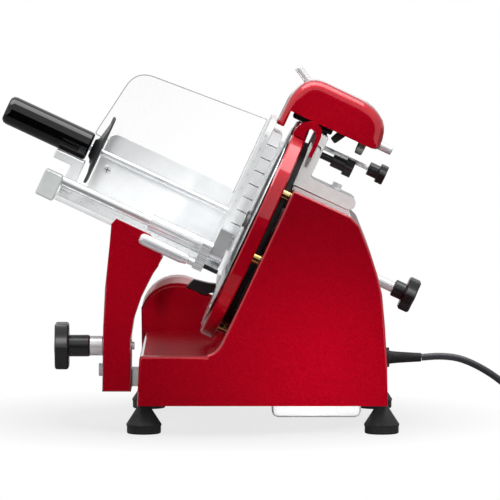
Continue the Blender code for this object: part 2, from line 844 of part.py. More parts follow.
# Food pusher
pusher_boss = rod("pusher_boss", BLADE, "X", (-98.5, PIVOT_Y, PIVOT_V), 66.7, 8.5, slider_empty, steps=28)
join(
    pusher_boss,
    box("pusher_tab", BLADE, (-42, -124, -41.5), (-32, -92, -28), helper=True),
    box("pusher_tab_end", BLADE, (-42, -125.5, -55), (-32, -114.5, -28), helper=True),
    rod("pusher_tab_neck", BLADE, "X", (-48.5, -120, -50), 10, 3.5, helper=True, steps=16),
)
cut(pusher_boss, rod("pusher_boss_bore", BLADE, "X", (-110, PIVOT_Y, PIVOT_V), 110, 5.3, helper=True, steps=24))
paint(pusher_boss, ALUMINIUM)
grip = turned(
    "lever_grip",
    BLADE,
    "X",
    (0, -120, -50),
    [(0, -48.8), (4.6, -48.8), (6, -56), (6, -96), (5, -100), (3, -101.5), (0, -101.5)],
    slider_empty,
    steps=20,
)
paint(grip, BLACK)
swing_arm = rod("pusher_bracket", BLADE, "X", (-31.5, PIVOT_Y, PIVOT_V), 14.2, 8.0, swing_empty, steps=28)
join(swing_arm, box("pusher_bracket_block", BLADE, (-31.0, -98, -32), (-18, -72, -9), helper=True))
cut(swing_arm, rod("pusher_bracket_bore", BLADE, "X", (-50, PIVOT_Y, PIVOT_V), 60, 5.3, helper=True, steps=24))
paint(swing_arm, ALUMINIUM)
pusher_plate = plate(
    "pusher_plate",
    BLADE,
    "YZ",
    smooth_corners([(-71.7, -44), (60, -44), (60, 100), (-71.7, 100)], [3, 8, 26, 26], 6),
    -31,
    -25,
    swing_empty,
)
rounded(pusher_plate, 0.8, 1, angle=60.0)
paint(pusher_plate, ALUMINIUM)
push_rod = rod("push_rod", BLADE, "X", (-185, 10, 3.5), 153.7, 3.5, swing_empty, steps=16)
paint(push_rod, CHROME)
hand_guard = turned(
    "hand_guard",
    BLADE,
    "X",
    (0, 10, 3.5),
    [
        (3.8, -176.5),
        (30, -173.2),
        (36.5, -173.0),
        (38.5, -174.2),
        (38.3, -176.5),
        (35.5, -176.2),
        (30, -176.4),
        (12, -180.5),
        (9, -183.5),
        (3.8, -183.5),
    ],
    swing_empty,
    steps=32,
    closed=True,
)
cut(hand_guard, box("hand_guard_notch", BLADE, (-200, -6, -60), (-160, 26, -11.2), helper=True))
paint(hand_guard, BLACK)
handle_end = HANDLE_START - HANDLE_LENGTH
handle = turned(
    "pusher_handle",
    BLADE,
    "X",
    (0, 10, 3.5),
    [
        (0, HANDLE_START),
        (HANDLE_RADIUS - 1.5, HANDLE_START),
        (HANDLE_RADIUS, HANDLE_START - 1.7),
        (HANDLE_RADIUS, handle_end + 6),
        (HANDLE_RADIUS - 0.8, handle_end + 2.6),
        (HANDLE_RADIUS - 3.5, handle_end),
        (0, handle_end),
    ],
    swing_empty,
    steps=28,
)
paint(handle, BLACK)

# Sharpener
bracket = plate(
    "sharpener_bracket",
    BLADE,
    "XZ",
    smooth_corners(
        [(15, 58.8), (15, 117), (30, 117), (30, 72), (83, 72), (83, 58.8)],
        [0, 2, 2, 3, 6, 6],
        4,
    ),
    -42,
    22,
    base_empty,
)
pin_bore = rod("sharpener_bracket_pin", BLADE, "Z", (22.5, HUB_Y, 61), 80, 5.3, helper=True, steps=24)
side_hole = rod("sharpener_bracket_hole", BLADE, "Y", (23.5, -50, 101), 14, 4.5, helper=True, steps=16)
cut(bracket, pin_bore, side_hole)
join(
    bracket,
    rod("bracket_washer", BLADE, "Z", (58.6, HUB_Y, 70), 3.8, 7.0, helper=True, steps=20),
    rod("bracket_bolt_head", BLADE, "Z", (58.6, HUB_Y, 73), 5.2, 5.6, helper=True, steps=6),
    rod("adjust_rod", BLADE, "X", (28, 8, 104), 52.8, 2.5, helper=True, steps=14),
)
paint(bracket, ALUMINIUM)
adjust_knob = rod("adjust_knob", BLADE, "X", (81.1, 8, 104), 13, 7, base_empty, steps=20)
flange = plate("adjust_knob_flange", BLADE, "YZ", lobes((8, 104), 11, 0.8, 6, 30), 92, 100, helper=True)
join(adjust_knob, flange)
paint(adjust_knob, BLACK)
clamp_knob = rod("sharpener_lock_knob", BLADE, "X", (30.4, HUB_Y, 97), 14, 3.5, clamp_empty, steps=16)
join(
    clamp_knob,
    rod("sharpener_lock_hub", BLADE, "X", (43, HUB_Y, 97), 15, 6.5, helper=True, steps=20),
    plate("sharpener_lock_flange", BLADE, "YZ", lobes((HUB_Y, 97), 10, 0.7, 6, 30), 57, 66, helper=True),
)
paint(clamp_knob, BLACK)

post = rod("sharpener_post", BLADE, "Z", (22.5, HUB_Y, 62), 69, 5.0, post_empty, steps=24)
paint(post, CHROME)
holder = plate(
    "stone_holder",
    BLADE,
    "XZ",
    [(-12, 119.6), (-12, 150), (-6, 155), (4, 157.5), (31, 157.5), (31, 119.6)],
    -34,
    -6,
    head_empty,
)
rounded(holder, 1.2, 1, angle=50.0)
STONE_1 = (
    BLADE
    @ Matrix.Translation(metres(-18.8, HUB_Y, 162.8))
    @ Matrix.Rotation(math.atan2(0.465, 0.885), 4, "Y")
)
cut(
    holder,
    rod("stone_holder_socket", BLADE, "Z", (22.5, HUB_Y, 100), 32.5, 5.3, helper=True, steps=24),
    rod("stone_holder_bore", STONE_1, "X", (-20, 0, 0), 100, 4.4, helper=True, steps=20),
)
paint(holder, BLACK)
COVER = [
    (-24, 108),
    (-23.6, 134),
    (-21.3, COVER_TOP - 20),
    (-16, COVER_TOP - 9),
    (-6.5, COVER_TOP - 1.8),
    (4, COVER_TOP),
    (44, COVER_TOP - 0.4),
    (60, COVER_TOP - 3.5),
    (71.5, COVER_TOP - 10),
    (78, COVER_TOP - 21),
    (80.5, COVER_BOTTOM + 7),
    (79.5, COVER_BOTTOM + 2.5),
    (75.5, COVER_BOTTOM),
    (-16.4, COVER_BOTTOM),
    (-16.4, 108.6),
]
cover = plate("sharpener_cover", BLADE, "XZ", COVER, COVER_REAR, COVER_FRONT, head_empty)
weigh(cover, lambda a, b: abs(a.z - b.z) < 0.1 and max(a.y, b.y) > COVER_BOTTOM + 1)
rounded(cover, 5.0, 3, weights=True)
inside_top = COVER_TOP - COVER_WALL
cover_inside = plate(
    "sharpener_cover_inside",
    BLADE,
    "XZ",
    [
        (-20.6, 100),
        (-20.4, 134),
        (-18.4, inside_top - 18),
        (-13.6, inside_top - 8.4),
        (-5.2, inside_top - 1.8),
        (4.4, inside_top),
        (43.6, inside_top - 0.4),
        (58.6, inside_top - 3.2),
        (69, inside_top - 9.1),
        (75, inside_top - 19),
        (77.3, COVER_BOTTOM + 7),
        (77.3, 100),
    ],
    COVER_REAR + COVER_WALL,
    COVER_FRONT - COVER_WALL,
    helper=True,
)
bush = ring("sharpener_cover_bush", BLADE, "X", (0, -24, 131), 0, 9, 70, 80.5, helper=True, steps=24)
cut(cover, cover_inside)
join(cover, bush)
cut(
    cover,
    rod("sharpener_cover_bore_2", BLADE, "X", (60, -24, 131), 40, 4.8, helper=True, steps=20),
    rod("sharpener_cover_bore_1", STONE_1, "X", (-20, 0, 0), 44, 4.6, helper=True, steps=20),
)
paint(cover, RED)
push_1 = joint_empty("button_1_slide", STONE_1, (0, 0, 0), head_empty)
spin_1 = joint_empty("stone_1_axis", STONE_1, (70, 0, 0), push_1)
shaft_1 = rod("stone_button_1", STONE_1, "X", (-10.4, 0, 0), 85.4, 4.0, push_1, steps=20, bevel=0.6)
paint(shaft_1, STEEL)
stone_1 = ring("stone_1", STONE_1, "X", (0, 0, 0), 4.3, 17.5, 66.7, 73.7, spin_1, steps=28, edge=0.8)
paint(stone_1, DARK_STONE)
push_2 = joint_empty("button_2_slide", BLADE, (94, -24, 131), head_empty)
spin_2 = joint_empty("stone_2_axis", BLADE, (63.5, -24, 131), push_2)
shaft_2 = rod("stone_button_2", BLADE, "X", (56.5, -24, 131), 37.5, 4.5, push_2, steps=20, bevel=0.6)
paint(shaft_2, STEEL)
stone_2 = ring("stone_2", BLADE, "X", (0, -24, 131), 4.8, 17.5, 60, 67.5, spin_2, steps=28, edge=0.8)
paint(stone_2, GREEN_STONE)

# Cord
gland = turned(
    "cord_gland",
    ROOT,
    "X",
    (0, -60, 70),
    [
        (0, 160),
        (4.4, 160),
        (4.9, 150),
        (5.8, 136),
        (6.6, 128),
        (10, 127.6),
        (10, 124.6),
        (6.6, 124.6),
        (6.6, 114),
        (0, 114),
    ],
    base_empty,
    steps=20,
)
paint(gland, RUBBER)
CORD = 3.5
FLOOR_START = (318.0, -60.0, 2.9)
path = [(160.3, -60, 70), (168, -60, 70.2)]
DROP = [
    (160.3, 70),
    (180, 71.0),
    (199, 68.5),
    (219, 60.0),
    (239, 47.0),
    (257, 30.5),
    (273, 15.0),
    (288, 5.6),
    (300, 3.1),
    (317.6, 2.9),
]


def eased(points, count):
    """A smooth line through points, evenly spaced, by Catmull-Rom."""
    ends = [points[0], *points, points[-1]]
    dense = []
    for i in range(1, len(ends) - 2):
        p0, p1, p2, p3 = (Vector(ends[i + k]) for k in (-1, 0, 1, 2))
        for step in range(20):
            t = step / 20
            dense.append(
                0.5
                * (
                    2 * p1
                    + (p2 - p0) * t
                    + (2 * p0 - 5 * p1 + 4 * p2 - p3) * t**2
                    + (3 * p1 - p0 - 3 * p2 + p3) * t**3
                )
            )
    dense.append(Vector(points[-1]))
    total = sum((b - a).length for a, b in zip(dense, dense[1:]))
    found = [dense[0]]
    gone = 0.0
    for a, b in zip(dense, dense[1:]):
        gone += (b - a).length
        if gone >= total / count * len(found) and len(found) < count:
            found.append(b)
    found.append(dense[-1])
    return found


line = [(p[0], -60.0, p[1]) for p in (tuple(q) for q in eased(DROP, 14))]
cord = tube("cord", ROOT, line, CORD, base_empty, resolution=2)
floor_cut = box("floor", ROOT, (100, -200, -20), (600, 300, 0), helper=True)
cut(cord, floor_cut)
paint(cord, RUBBER)

# Coil: four layers that wind in and out by turns, then a tail that comes down to the plug
LOOPS = 6.25
LAYERS = 4
COIL_RADIUS = 43.5
LOOP_SPACING = 7.6
LAYER_RISE = 7.8
CLIMB = 0.12
COIL_STEPS = 20
centre = (318.3, -60.0 + COIL_RADIUS)
coil_line = [(318.5, -60.0, 2.9)]
turns_in_layer = LOOPS / LAYERS
for i in range(1, int(LOOPS * COIL_STEPS) + 1):
    turns = i / COIL_STEPS
    layer = min(int(turns / turns_in_layer), LAYERS - 1)
    along = turns - layer * turns_in_layer
    inward = along if layer % 2 == 0 else turns_in_layer - along
    radius = COIL_RADIUS - LOOP_SPACING * inward
    climbed = sum(
        min(max((turns - k * turns_in_layer) / (2 * CLIMB) + 0.5, 0.0), 1.0) for k in range(1, LAYERS)
    )
    a = 2 * math.pi * turns
    coil_line.append(
        (centre[0] + radius * math.sin(a), centre[1] - radius * math.cos(a), 2.9 + LAYER_RISE * climbed)
    )
last = coil_line[-1]
TAIL = ((8, 0), (18, -1.0), (30, -4.5), (42, -10.0), (54, -16.0), (66, -19.8))
for along, height in TAIL:
    coil_line.append((last[0], last[1] + along, last[2] + height))
for along, height in ((77, 5.6), (86, 5.2), (96, 5.2)):
    coil_line.append((last[0], last[1] + along, height))
coil = tube("cord_coil", ROOT, coil_line, CORD, base_empty, resolution=1)
cut(coil, floor_cut)
paint(coil, RUBBER)
# Strap that holds the coil, over and under all its loops
TIE_WALL = 1.0
TIE_WIDTH = 7.0
tie_in = COIL_RADIUS - LOOP_SPACING * turns_in_layer - CORD - 0.6
tie_out = COIL_RADIUS + CORD + 0.6
tie_top = 2.9 + LAYER_RISE * (LAYERS - 1) + CORD + 0.6
TIE = ROOT @ Matrix.Translation(metres(centre[0], centre[1], 0)) @ Matrix.Rotation(math.radians(200), 4, "Z")
tie = box(
    "cord_tie",
    TIE,
    (tie_in - TIE_WALL, -TIE_WIDTH / 2, 0),
    (tie_out + TIE_WALL, TIE_WIDTH / 2, tie_top + TIE_WALL),
    base_empty,
    bevel=2.0,
)
tie_inside = box("cord_tie_inside", TIE, (tie_in, -20, TIE_WALL), (tie_out, 20, tie_top), helper=True)
cut(tie, tie_inside)
cut(coil, box("cord_tie_groove", TIE, (tie_in - 2, -TIE_WIDTH / 2 - 1, -5), (tie_out + 2, TIE_WIDTH / 2 + 1, TIE_WALL + 0.1), helper=True))
paint(tie, BLACK)
end = coil_line[-1]
plug = box("plug", ROOT, (end[0] - 13, end[1] + 12.3, 0.2), (end[0] + 13, end[1] + 42, 17), base_empty, bevel=3.0)
join(
    plug,
    rod("plug_sleeve", ROOT, "Y", (end[0], end[1] + 0.3, 5.2), 16, 4.4, helper=True, tip=5.0, steps=16),
    rod("plug_pin_1", ROOT, "Y", (end[0] - 7, end[1] + 40, 8.5), 20, 2.2, helper=True, steps=12),
    rod("plug_pin_2", ROOT, "Y", (end[0] + 7, end[1] + 40, 8.5), 20, 2.2, helper=True, steps=12),
)
paint(plug, RUBBER)

strands = [Vector(p) for p in coil_line]
gap = min(
    (a - b).length - 2 * CORD for i, a in enumerate(strands) for b in strands[i + COIL_STEPS * 3 // 4 :]
)
length = sum((b - a).length for a, b in zip(strands, strands[1:]))
free = sum((Vector(b) - Vector(a)).length for a, b in zip(line, line[1:]))
print(f"least gap between the coil's loops {gap:.2f} mm, cord length {(length + free) / 1000:.2f} m")
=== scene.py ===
import logging
import math
from dataclasses import dataclass, field
from enum import Enum
from typing import Callable, ClassVar, Iterable, Sequence

import bmesh
import bpy
from mathutils import Matrix, Vector


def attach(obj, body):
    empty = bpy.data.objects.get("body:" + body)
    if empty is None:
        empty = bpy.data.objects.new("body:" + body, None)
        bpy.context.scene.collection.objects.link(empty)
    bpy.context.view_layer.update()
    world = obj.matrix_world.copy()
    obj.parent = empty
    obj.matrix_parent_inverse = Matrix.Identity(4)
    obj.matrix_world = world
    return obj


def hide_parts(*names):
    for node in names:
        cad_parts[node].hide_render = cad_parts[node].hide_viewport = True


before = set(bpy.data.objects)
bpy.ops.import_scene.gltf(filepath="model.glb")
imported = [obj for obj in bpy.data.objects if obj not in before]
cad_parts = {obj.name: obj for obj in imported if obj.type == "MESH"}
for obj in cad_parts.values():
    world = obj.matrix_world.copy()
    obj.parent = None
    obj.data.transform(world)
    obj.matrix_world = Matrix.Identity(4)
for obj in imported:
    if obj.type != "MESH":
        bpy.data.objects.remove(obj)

LOG = logging.getLogger("slicer")

# Millimetres in the classes below become metres here
SHIFT = Vector((52.4, -20.0, 0.0))
BASE = Matrix.Translation(SHIFT / 1000)
TILT = math.radians(25.0)
TILTED = BASE @ Matrix.Translation(Vector((-9.5, 0.0, 197.5)) / 1000) @ Matrix.Rotation(TILT, 4, "Y")
HUB_Y = -20.0

# Most of a noise pattern lies between these values
CLOUD_ENDS = (0.3, 0.7)
CLOUD_ROUGHNESS = 0.55
LACQUER_ROUGHNESS = 0.04
# Edges sharper than these stay crisp, or are rounded
CRISP_ANGLE = math.radians(35.0)
BEVEL_ANGLE = math.radians(34.0)
# Faces of a CAD node that meet under a smaller angle than this become one
FLAT_ANGLE = math.radians(0.8)
# Faces across a shell's rounded end
SHELL_STEPS = 7
# Points nearer than these, in metres, become one: in a CAD node, and in a turned shape
SAME_CAD_POINT = 0.000002
SAME_POINT = 0.000001
WHITE = (1.0, 1.0, 1.0, 1.0)

Tree = bpy.types.NodeTree
Node = bpy.types.Node
Socket = bpy.types.NodeSocket
Material = bpy.types.Material
Piece = bpy.types.Object
Shape = bmesh.types.BMesh
Pair = tuple[float, float]
Outline = Sequence[Pair]
Place = tuple[float, float, float]
Stops = Iterable[tuple[float, str]]
Shares = dict[int, float]
Rows = Iterable[tuple[str, str, "Finish", float]]
Test = Callable[[Vector, Vector], bool]


class Axis(Enum):
    """The direction that a turned or flat piece is built along."""

    ALONG_X = Matrix(((0, 0, 1, 0), (1, 0, 0, 0), (0, 1, 0, 0), (0, 0, 0, 1)))
    ALONG_Y = Matrix(((0, 1, 0, 0), (0, 0, 1, 0), (1, 0, 0, 0), (0, 0, 0, 1)))


def linear(code: str) -> tuple[float, float, float, float]:
    """Turns an sRGB hex colour to linear.

    Args:
        code: six hex digits.

    Returns:
        The colour as red, green, blue and alpha.
    """
    values = [int(code[i : i + 2], 16) / 255 for i in (0, 2, 4)]
    turned = [v / 12.92 if v <= 0.04045 else ((v + 0.055) / 1.055) ** 2.4 for v in values]
    return (*turned, 1.0)


def per_mm(size: float) -> float:
    """Returns the texture scale that gives a pattern this size in millimetres."""
    return 1000.0 / size


def add(
    tree: Tree,
    kind: str,
    settings: dict[str, object] | None = None,
    inputs: dict[str | int, object] | None = None,
) -> Node:
    """Adds a node with its settings and links.

    Args:
        tree: the material's node tree.
        kind: the node's type name.
        settings: attributes of the node.
        inputs: values, or sockets to link from, by input name or number.

    Returns:
        The new node.
    """
    node = tree.nodes.new(kind)
    for key, value in (settings or {}).items():
        setattr(node, key, value)
    for key, value in (inputs or {}).items():
        if isinstance(value, Socket):
            tree.links.new(value, node.inputs[key])
        else:
            node.inputs[key].default_value = value
    return node


def ramp(tree: Tree, source: Socket, stops: Stops) -> Node:
    """Adds a colour ramp.

    Args:
        tree: the material's node tree.
        source: the factor.
        stops: positions with hex colours.

    Returns:
        The ramp node.
    """
    node = add(tree, "ShaderNodeValToRGB", inputs={"Fac": source})
    elements = node.color_ramp.elements
    for i, (position, code) in enumerate(stops):
        element = elements[i] if i < 2 else elements.new(position)
        element.position = position
        element.color = linear(code)
    return node


def placed(name: str, data: bpy.types.ID) -> Piece:
    """Adds an object to the scene."""
    found = bpy.data.objects.new(name, data)
    bpy.context.scene.collection.objects.link(found)
    return found


def upright(y: float) -> Matrix:
    """Returns the matrix that stands a flat outline up along u and v, with its face at y in millimetres."""
    return Matrix(((1, 0, 0, 0), (0, 0, -1, y / 1000), (0, 1, 0, 0), (0, 0, 0, 1)))


def rounded_outline(corners: Outline, sizes: Sequence[float], steps: int = 8) -> list[Pair]:
    """Rounds the corners of an outline.

    Args:
        corners: the outline's corners.
        sizes: how far each round reaches from its corner.
        steps: parts of each round.

    Returns:
        The rounded outline.
    """
    outline = []
    for i, (point, size) in enumerate(zip(corners, sizes)):
        corner = Vector(point)
        start = corner + (Vector(corners[i - 1]) - corner).normalized() * size
        end = corner + (Vector(corners[(i + 1) % len(corners)]) - corner).normalized() * size
        for k in range(steps + 1):
            t = k / steps
            spot = start * (1 - t) ** 2 + corner * 2 * t * (1 - t) + end * t**2
            outline.append((spot.x, spot.y))
    return outline


@dataclass(frozen=True)
class Finish:
    """A surface finish: what the real material is and how it was made.

    Sizes are in millimetres, and worn is the roughness's least and most share of its own value.
    """

    name: str
    colour: str
    shade: str
    roughness: float = 0.4
    metallic: float = 0.0
    grain: float = 1.0
    bump: float = 0.05
    coat: float = 0.0
    specular: float = 0.5
    cloud: float = 18.0
    worn: Pair = (0.85, 1.2)

    def shader(self) -> tuple[Material, Tree, Node]:
        """Starts the material.

        Returns:
            The material, its tree and its main shader.
        """
        material = bpy.data.materials.new(self.name)
        material.use_nodes = True
        tree = material.node_tree
        main = tree.nodes["Principled BSDF"]
        main.inputs["Roughness"].default_value = self.roughness
        main.inputs["Metallic"].default_value = self.metallic
        main.inputs["Coat Weight"].default_value = self.coat
        main.inputs["Coat Roughness"].default_value = LACQUER_ROUGHNESS
        # Bare metal keeps the shader's own reflectance
        if self.metallic < 0.5:
            main.inputs["Specular IOR Level"].default_value = self.specular
        return material, tree, main

    def mottle(self, tree: Tree, size: float, detail: float = 3.0) -> Socket:
        """Adds cloudy variation.

        Args:
            tree: the material's node tree.
            size: the clouds' size in millimetres.
            detail: how many finer layers.

        Returns:
            The factor socket.
        """
        place = add(tree, "ShaderNodeTexCoord").outputs["Object"]
        inputs = {"Vector": place, "Scale": per_mm(size), "Detail": detail, "Roughness": CLOUD_ROUGHNESS}
        return add(tree, "ShaderNodeTexNoise", inputs=inputs).outputs["Fac"]

    def cover(self, tree: Tree, main: Node, tint: Socket, wear: Socket, stops: Stops = ()) -> None:
        """Varies the colour with one pattern and the roughness with another.

        Args:
            tree: the material's node tree.
            main: the shader.
            tint: the colour's pattern.
            wear: the roughness's pattern.
            stops: the pattern's values with their colours; from colour to shade if left out.
        """
        colours = ramp(tree, tint, stops or zip(CLOUD_ENDS, (self.colour, self.shade)))
        tree.links.new(colours.outputs["Color"], main.inputs["Base Color"])
        ends = {"Value": wear, "From Min": CLOUD_ENDS[0], "From Max": CLOUD_ENDS[1]}
        ends["To Min"], ends["To Max"] = (self.roughness * share for share in self.worn)
        rough = add(tree, "ShaderNodeMapRange", inputs=ends).outputs["Result"]
        tree.links.new(rough, main.inputs["Roughness"])

    def tilt(self, tree: Tree, main: Node, height: Socket, strength: float = 0.6, to: str = "Normal") -> None:
        """Adds the finish's bump.

        Args:
            tree: the material's node tree.
            main: the shader.
            height: the height factor.
            strength: how much of the bump counts.
            to: the shader's input that takes it.
        """
        inputs = {"Strength": strength, "Distance": self.bump / 1000, "Height": height}
        tree.links.new(add(tree, "ShaderNodeBump", inputs=inputs).outputs["Normal"], main.inputs[to])

    def material(self) -> Material:
        """Builds the plain version: clouded colour, varied roughness and fine grain.

        Returns:
            The material.
        """
        material, tree, main = self.shader()
        clouds = self.mottle(tree, self.cloud)
        self.cover(tree, main, clouds, clouds)
        self.tilt(tree, main, self.mottle(tree, self.grain, 2.0))
        return material


@dataclass(frozen=True)
class FlakePaint(Finish):
    """Two-coat metallic enamel: a red base full of fine flakes under clear lacquer."""

    worn: Pair = (0.8, 1.25)
    flake: str = "D01424"
    flake_share: float = 0.25
    peel: float = 3.0
    peel_strength: float = 0.12

    def material(self) -> Material:
        """Builds the flakes and the lacquer.

        Returns:
            The material.
        """
        material, tree, main = self.shader()
        place = add(tree, "ShaderNodeTexCoord").outputs["Object"]
        # Real flakes are about 0.05 mm; they are drawn as wide as the grain, so that a close view shows them
        cells = add(tree, "ShaderNodeTexVoronoi", inputs={"Vector": place, "Scale": per_mm(self.grain)})
        tint = add(tree, "ShaderNodeSeparateColor", inputs={"Color": cells.outputs["Color"]}).outputs["Red"]
        stops = ((0.0, self.shade), (1 - self.flake_share, self.colour), (1.0, self.flake))
        self.cover(tree, main, tint, tint, stops)
        # Orange peel in the lacquer
        self.tilt(tree, main, self.mottle(tree, self.peel, 1.0), self.peel_strength, "Coat Normal")
        return material


@dataclass(frozen=True)
class BrushedMetal(Finish):
    """Metal sheet or bar with fine lines from a belt, drawn along one direction."""

    cloud: float = 30.0
    worn: Pair = (0.75, 1.3)
    lines: Place = (0.7, 40.0, 0.7)
    leaning: float = 0.0

    def material(self) -> Material:
        """Builds the lines and faint clouds.

        Returns:
            The material.
        """
        material, tree, main = self.shader()
        place = add(tree, "ShaderNodeTexCoord").outputs["Object"]
        # Turns the lines to lie along the tilted parts
        turned = {"Vector": place, "Angle": -self.leaning}
        level = add(tree, "ShaderNodeVectorRotate", {"rotation_type": "Y_AXIS"}, turned).outputs["Vector"]
        scales = {"Vector": level, "Scale": tuple(per_mm(size) for size in self.lines)}
        drawn = add(tree, "ShaderNodeMapping", inputs=scales).outputs["Vector"]
        strokes = add(tree, "ShaderNodeTexNoise", inputs={"Vector": drawn, "Scale": 1.0, "Detail": 2.0})
        self.cover(tree, main, self.mottle(tree, self.cloud), strokes.outputs["Fac"])
        self.tilt(tree, main, strokes.outputs["Fac"])
        return material


@dataclass(frozen=True)
class TurnedMetal(Finish):
    """Metal faced on a lathe or ground while it spins, with rings about the hub."""

    worn: Pair = (0.8, 1.25)

    def material(self) -> Material:
        """Builds rings about the blade's axis.

        Returns:
            The material.
        """
        material, tree, main = self.shader()
        place = add(tree, "ShaderNodeTexCoord").outputs["Object"]
        centre = TILTED @ Vector((0.0, HUB_Y / 1000, 0.0))
        along = TILTED.to_3x3() @ Vector((1.0, 0.0, 0.0))
        out = add(tree, "ShaderNodeVectorMath", {"operation": "SUBTRACT"}, {0: place, 1: tuple(centre)})
        ends = {0: out.outputs["Vector"], 1: tuple(along)}
        across = add(tree, "ShaderNodeVectorMath", {"operation": "CROSS_PRODUCT"}, ends).outputs["Vector"]
        radius = add(tree, "ShaderNodeVectorMath", {"operation": "LENGTH"}, {0: across}).outputs["Value"]
        # The rings are as far apart as the grain
        scales = {"W": radius, "Scale": per_mm(self.grain), "Detail": 2.0}
        rings = add(tree, "ShaderNodeTexNoise", {"noise_dimensions": "1D"}, scales).outputs["Fac"]
        self.cover(tree, main, rings, rings)
        self.tilt(tree, main, rings)
        return material


@dataclass(frozen=True)
class ClearSheet(Finish):
    """Clear moulded polycarbonate, with faint scuffs."""

    cloud: float = 12.0
    worn: Pair = (0.7, 1.4)
    opacity: float = 0.18
    index: float = 1.58

    def material(self) -> Material:
        """Builds a thin clear sheet that keeps a soft glare.

        Returns:
            The material.
        """
        material, tree, main = self.shader()
        scuffs = self.mottle(tree, self.cloud, 4.0)
        self.cover(tree, main, scuffs, scuffs, ((0.35, self.colour), (0.65, self.shade)))
        main.inputs["Alpha"].default_value = self.opacity
        main.inputs["IOR"].default_value = self.index
        return material


# Two-coat metallic enamel on an aluminium casting: deep red with a sharp, wet gloss
RED_ENAMEL = FlakePaint("red_metallic_enamel", "BC0120", "8C0113", 0.4, 0.45, 0.35, 0.04, 1.0, 0.1)
# Polished and anodised aluminium: bright, pale grey, soft reflections with faint belt lines
ANODISED = BrushedMetal("anodised_aluminium", "FAFBFC", "F0F2F3", 0.34, 0.3, 1.0, 0.003)
# The same on a tilted bar, lines along the bar
ANODISED_BAR = BrushedMetal(
    "anodised_aluminium_bar", "F0F1F3", "E2E5E7", 0.28, 0.6, 1.0, 0.002, lines=(40.0, 0.9, 0.9), leaning=TILT
)
# Polished aluminium levers and rims: near mirror, so they pick up dark and light bands
POLISHED = BrushedMetal(
    "polished_aluminium", "F2F3F4", "E2E4E6", 0.2, 0.7, 1.0, 0.001, lines=(40.0, 1.2, 1.2), leaning=TILT
)
# Rim of the gauge plate and blade: pale aluminium blotched with grey, the blotches a painted reflection of
# the surroundings, with fine scratches
RIM_PAINTED_REFLECTION = Finish("aluminium_rim_painted_reflection", "F4F4F2", "A9AFAC", 0.3, 0.6, 3.0, 0.02)
# Die-cast aluminium: duller, with a pebbly skin
CAST_ALUMINIUM = Finish("cast_aluminium", "DADFDE", "CDD1D0", 0.5, 0.2, 0.8, 0.01)
# Hard chrome on ground bar: mirror bright
CHROME = Finish("hard_chrome", "F0F1F3", "E2E4E6", 0.08, 1.0, 2.0, 0.002)
# Ground stainless blade steel: fine rings, bright
BLADE_STEEL = TurnedMetal("ground_stainless_steel", "D9DBDE", "BFC2C5", 0.2, 1.0, 0.5, 0.004)
# Faced aluminium cover disc: fine lathe rings, softer than the blade
FACED_ALUMINIUM = TurnedMetal("faced_aluminium", "F0F1F2", "DADCDD", 0.3, 0.6, 0.7, 0.004)
# Zinc-plated steel fasteners and shafts
ZINC_STEEL = Finish("zinc_plated_steel", "E4E6E8", "DADDDF", 0.34, 0.6, 2.5, 0.0008)
# Turned brass standoffs: warm yellow
BRASS = Finish("turned_brass", "D9BC7A", "C2A35E", 0.25, 1.0, 0.5, 0.01)
# Moulded phenolic knobs: black with a soft grey sheen
PHENOLIC = Finish("phenolic_resin", "1B1C1E", "131415", 0.3, 0.0, 1.2, 0.02, specular=0.55)
# Polished black acrylic handle: a wet black gloss
BLACK_ACRYLIC = Finish("polished_acrylic", "0B0B0D", "060607", 0.07, 0.0, 4.0, 0.003, coat=0.3, specular=0.3)
# Black ABS: fine spark-eroded grain
BLACK_ABS = Finish("black_abs", "1D1E20", "151617", 0.42, 0.0, 0.7, 0.03)
# Vulcanised rubber feet, belt and gland: matt black; the same black also fills the gap behind the guard ring
# as painted shade
RUBBER_AND_GAP_SHADE = Finish("vulcanised_rubber_and_gap_shade", "1E1F20", "161718", 0.62, 0.0, 0.9, 0.04, specular=0.35)
# Soft PVC cord jacket: dark grey with a dull shine
PVC = Finish("pvc_jacket", "3A3D42", "2C2F33", 0.38, 0.0, 1.5, 0.02)
# Clear polycarbonate hand guard: all but unseen face on; its rim and cut edge are painted grey, a painted
# reflection of the light trapped along the cut
POLYCARBONATE = ClearSheet("clear_polycarbonate", "FFFFFF", "F6F7F8", 0.1, 0.0, 1.0, 0.0, opacity=0.035)
POLYCARBONATE_PAINTED_EDGE = ClearSheet("polycarbonate_painted_edge_reflection", "A6AAAD", "9A9EA1", 0.3, 0.0, 1.0, 0.0, opacity=0.5)
# Tinted translucent acrylic dial: pale rose with a soft glow
ROSE_ACRYLIC = Finish("rose_acrylic", "F3D3D2", "EBC2C2", 0.28, 0.0, 2.0, 0.01, coat=0.3)
# Bonded aluminium oxide: dark grey grit of about 0.3 mm
DARK_GRIT = Finish("dark_bonded_grit", "4A4B4D", "2F3032", 0.9, 0.0, 0.6, 0.25, specular=0.3)
# Bonded silicon carbide, grey green grit
GREEN_GRIT = Finish("green_bonded_grit", "8B968F", "6C7771", 0.88, 0.0, 0.6, 0.25, specular=0.3)
# Coloured ABS buttons: flat colour with a moulded sheen
GREEN_ABS = Finish("green_abs", "1F8A3C", "187332", 0.35, 0.0, 0.8, 0.02)
RED_ABS = Finish("red_abs", "B3161A", "951115", 0.35, 0.0, 0.8, 0.02)
# Screen printed inks: thin, matt and even
WHITE_INK = Finish("white_screen_ink", "F2F2EE", "E6E6E0", 0.5, 0.0, 0.6, 0.005)
# The dark ink also paints the shade inside the wall screw's slot
DARK_INK_AND_SLOT_SHADE = Finish("grey_screen_ink_and_slot_shade", "3B3236", "2E272A", 0.5, 0.0, 0.6, 0.005)


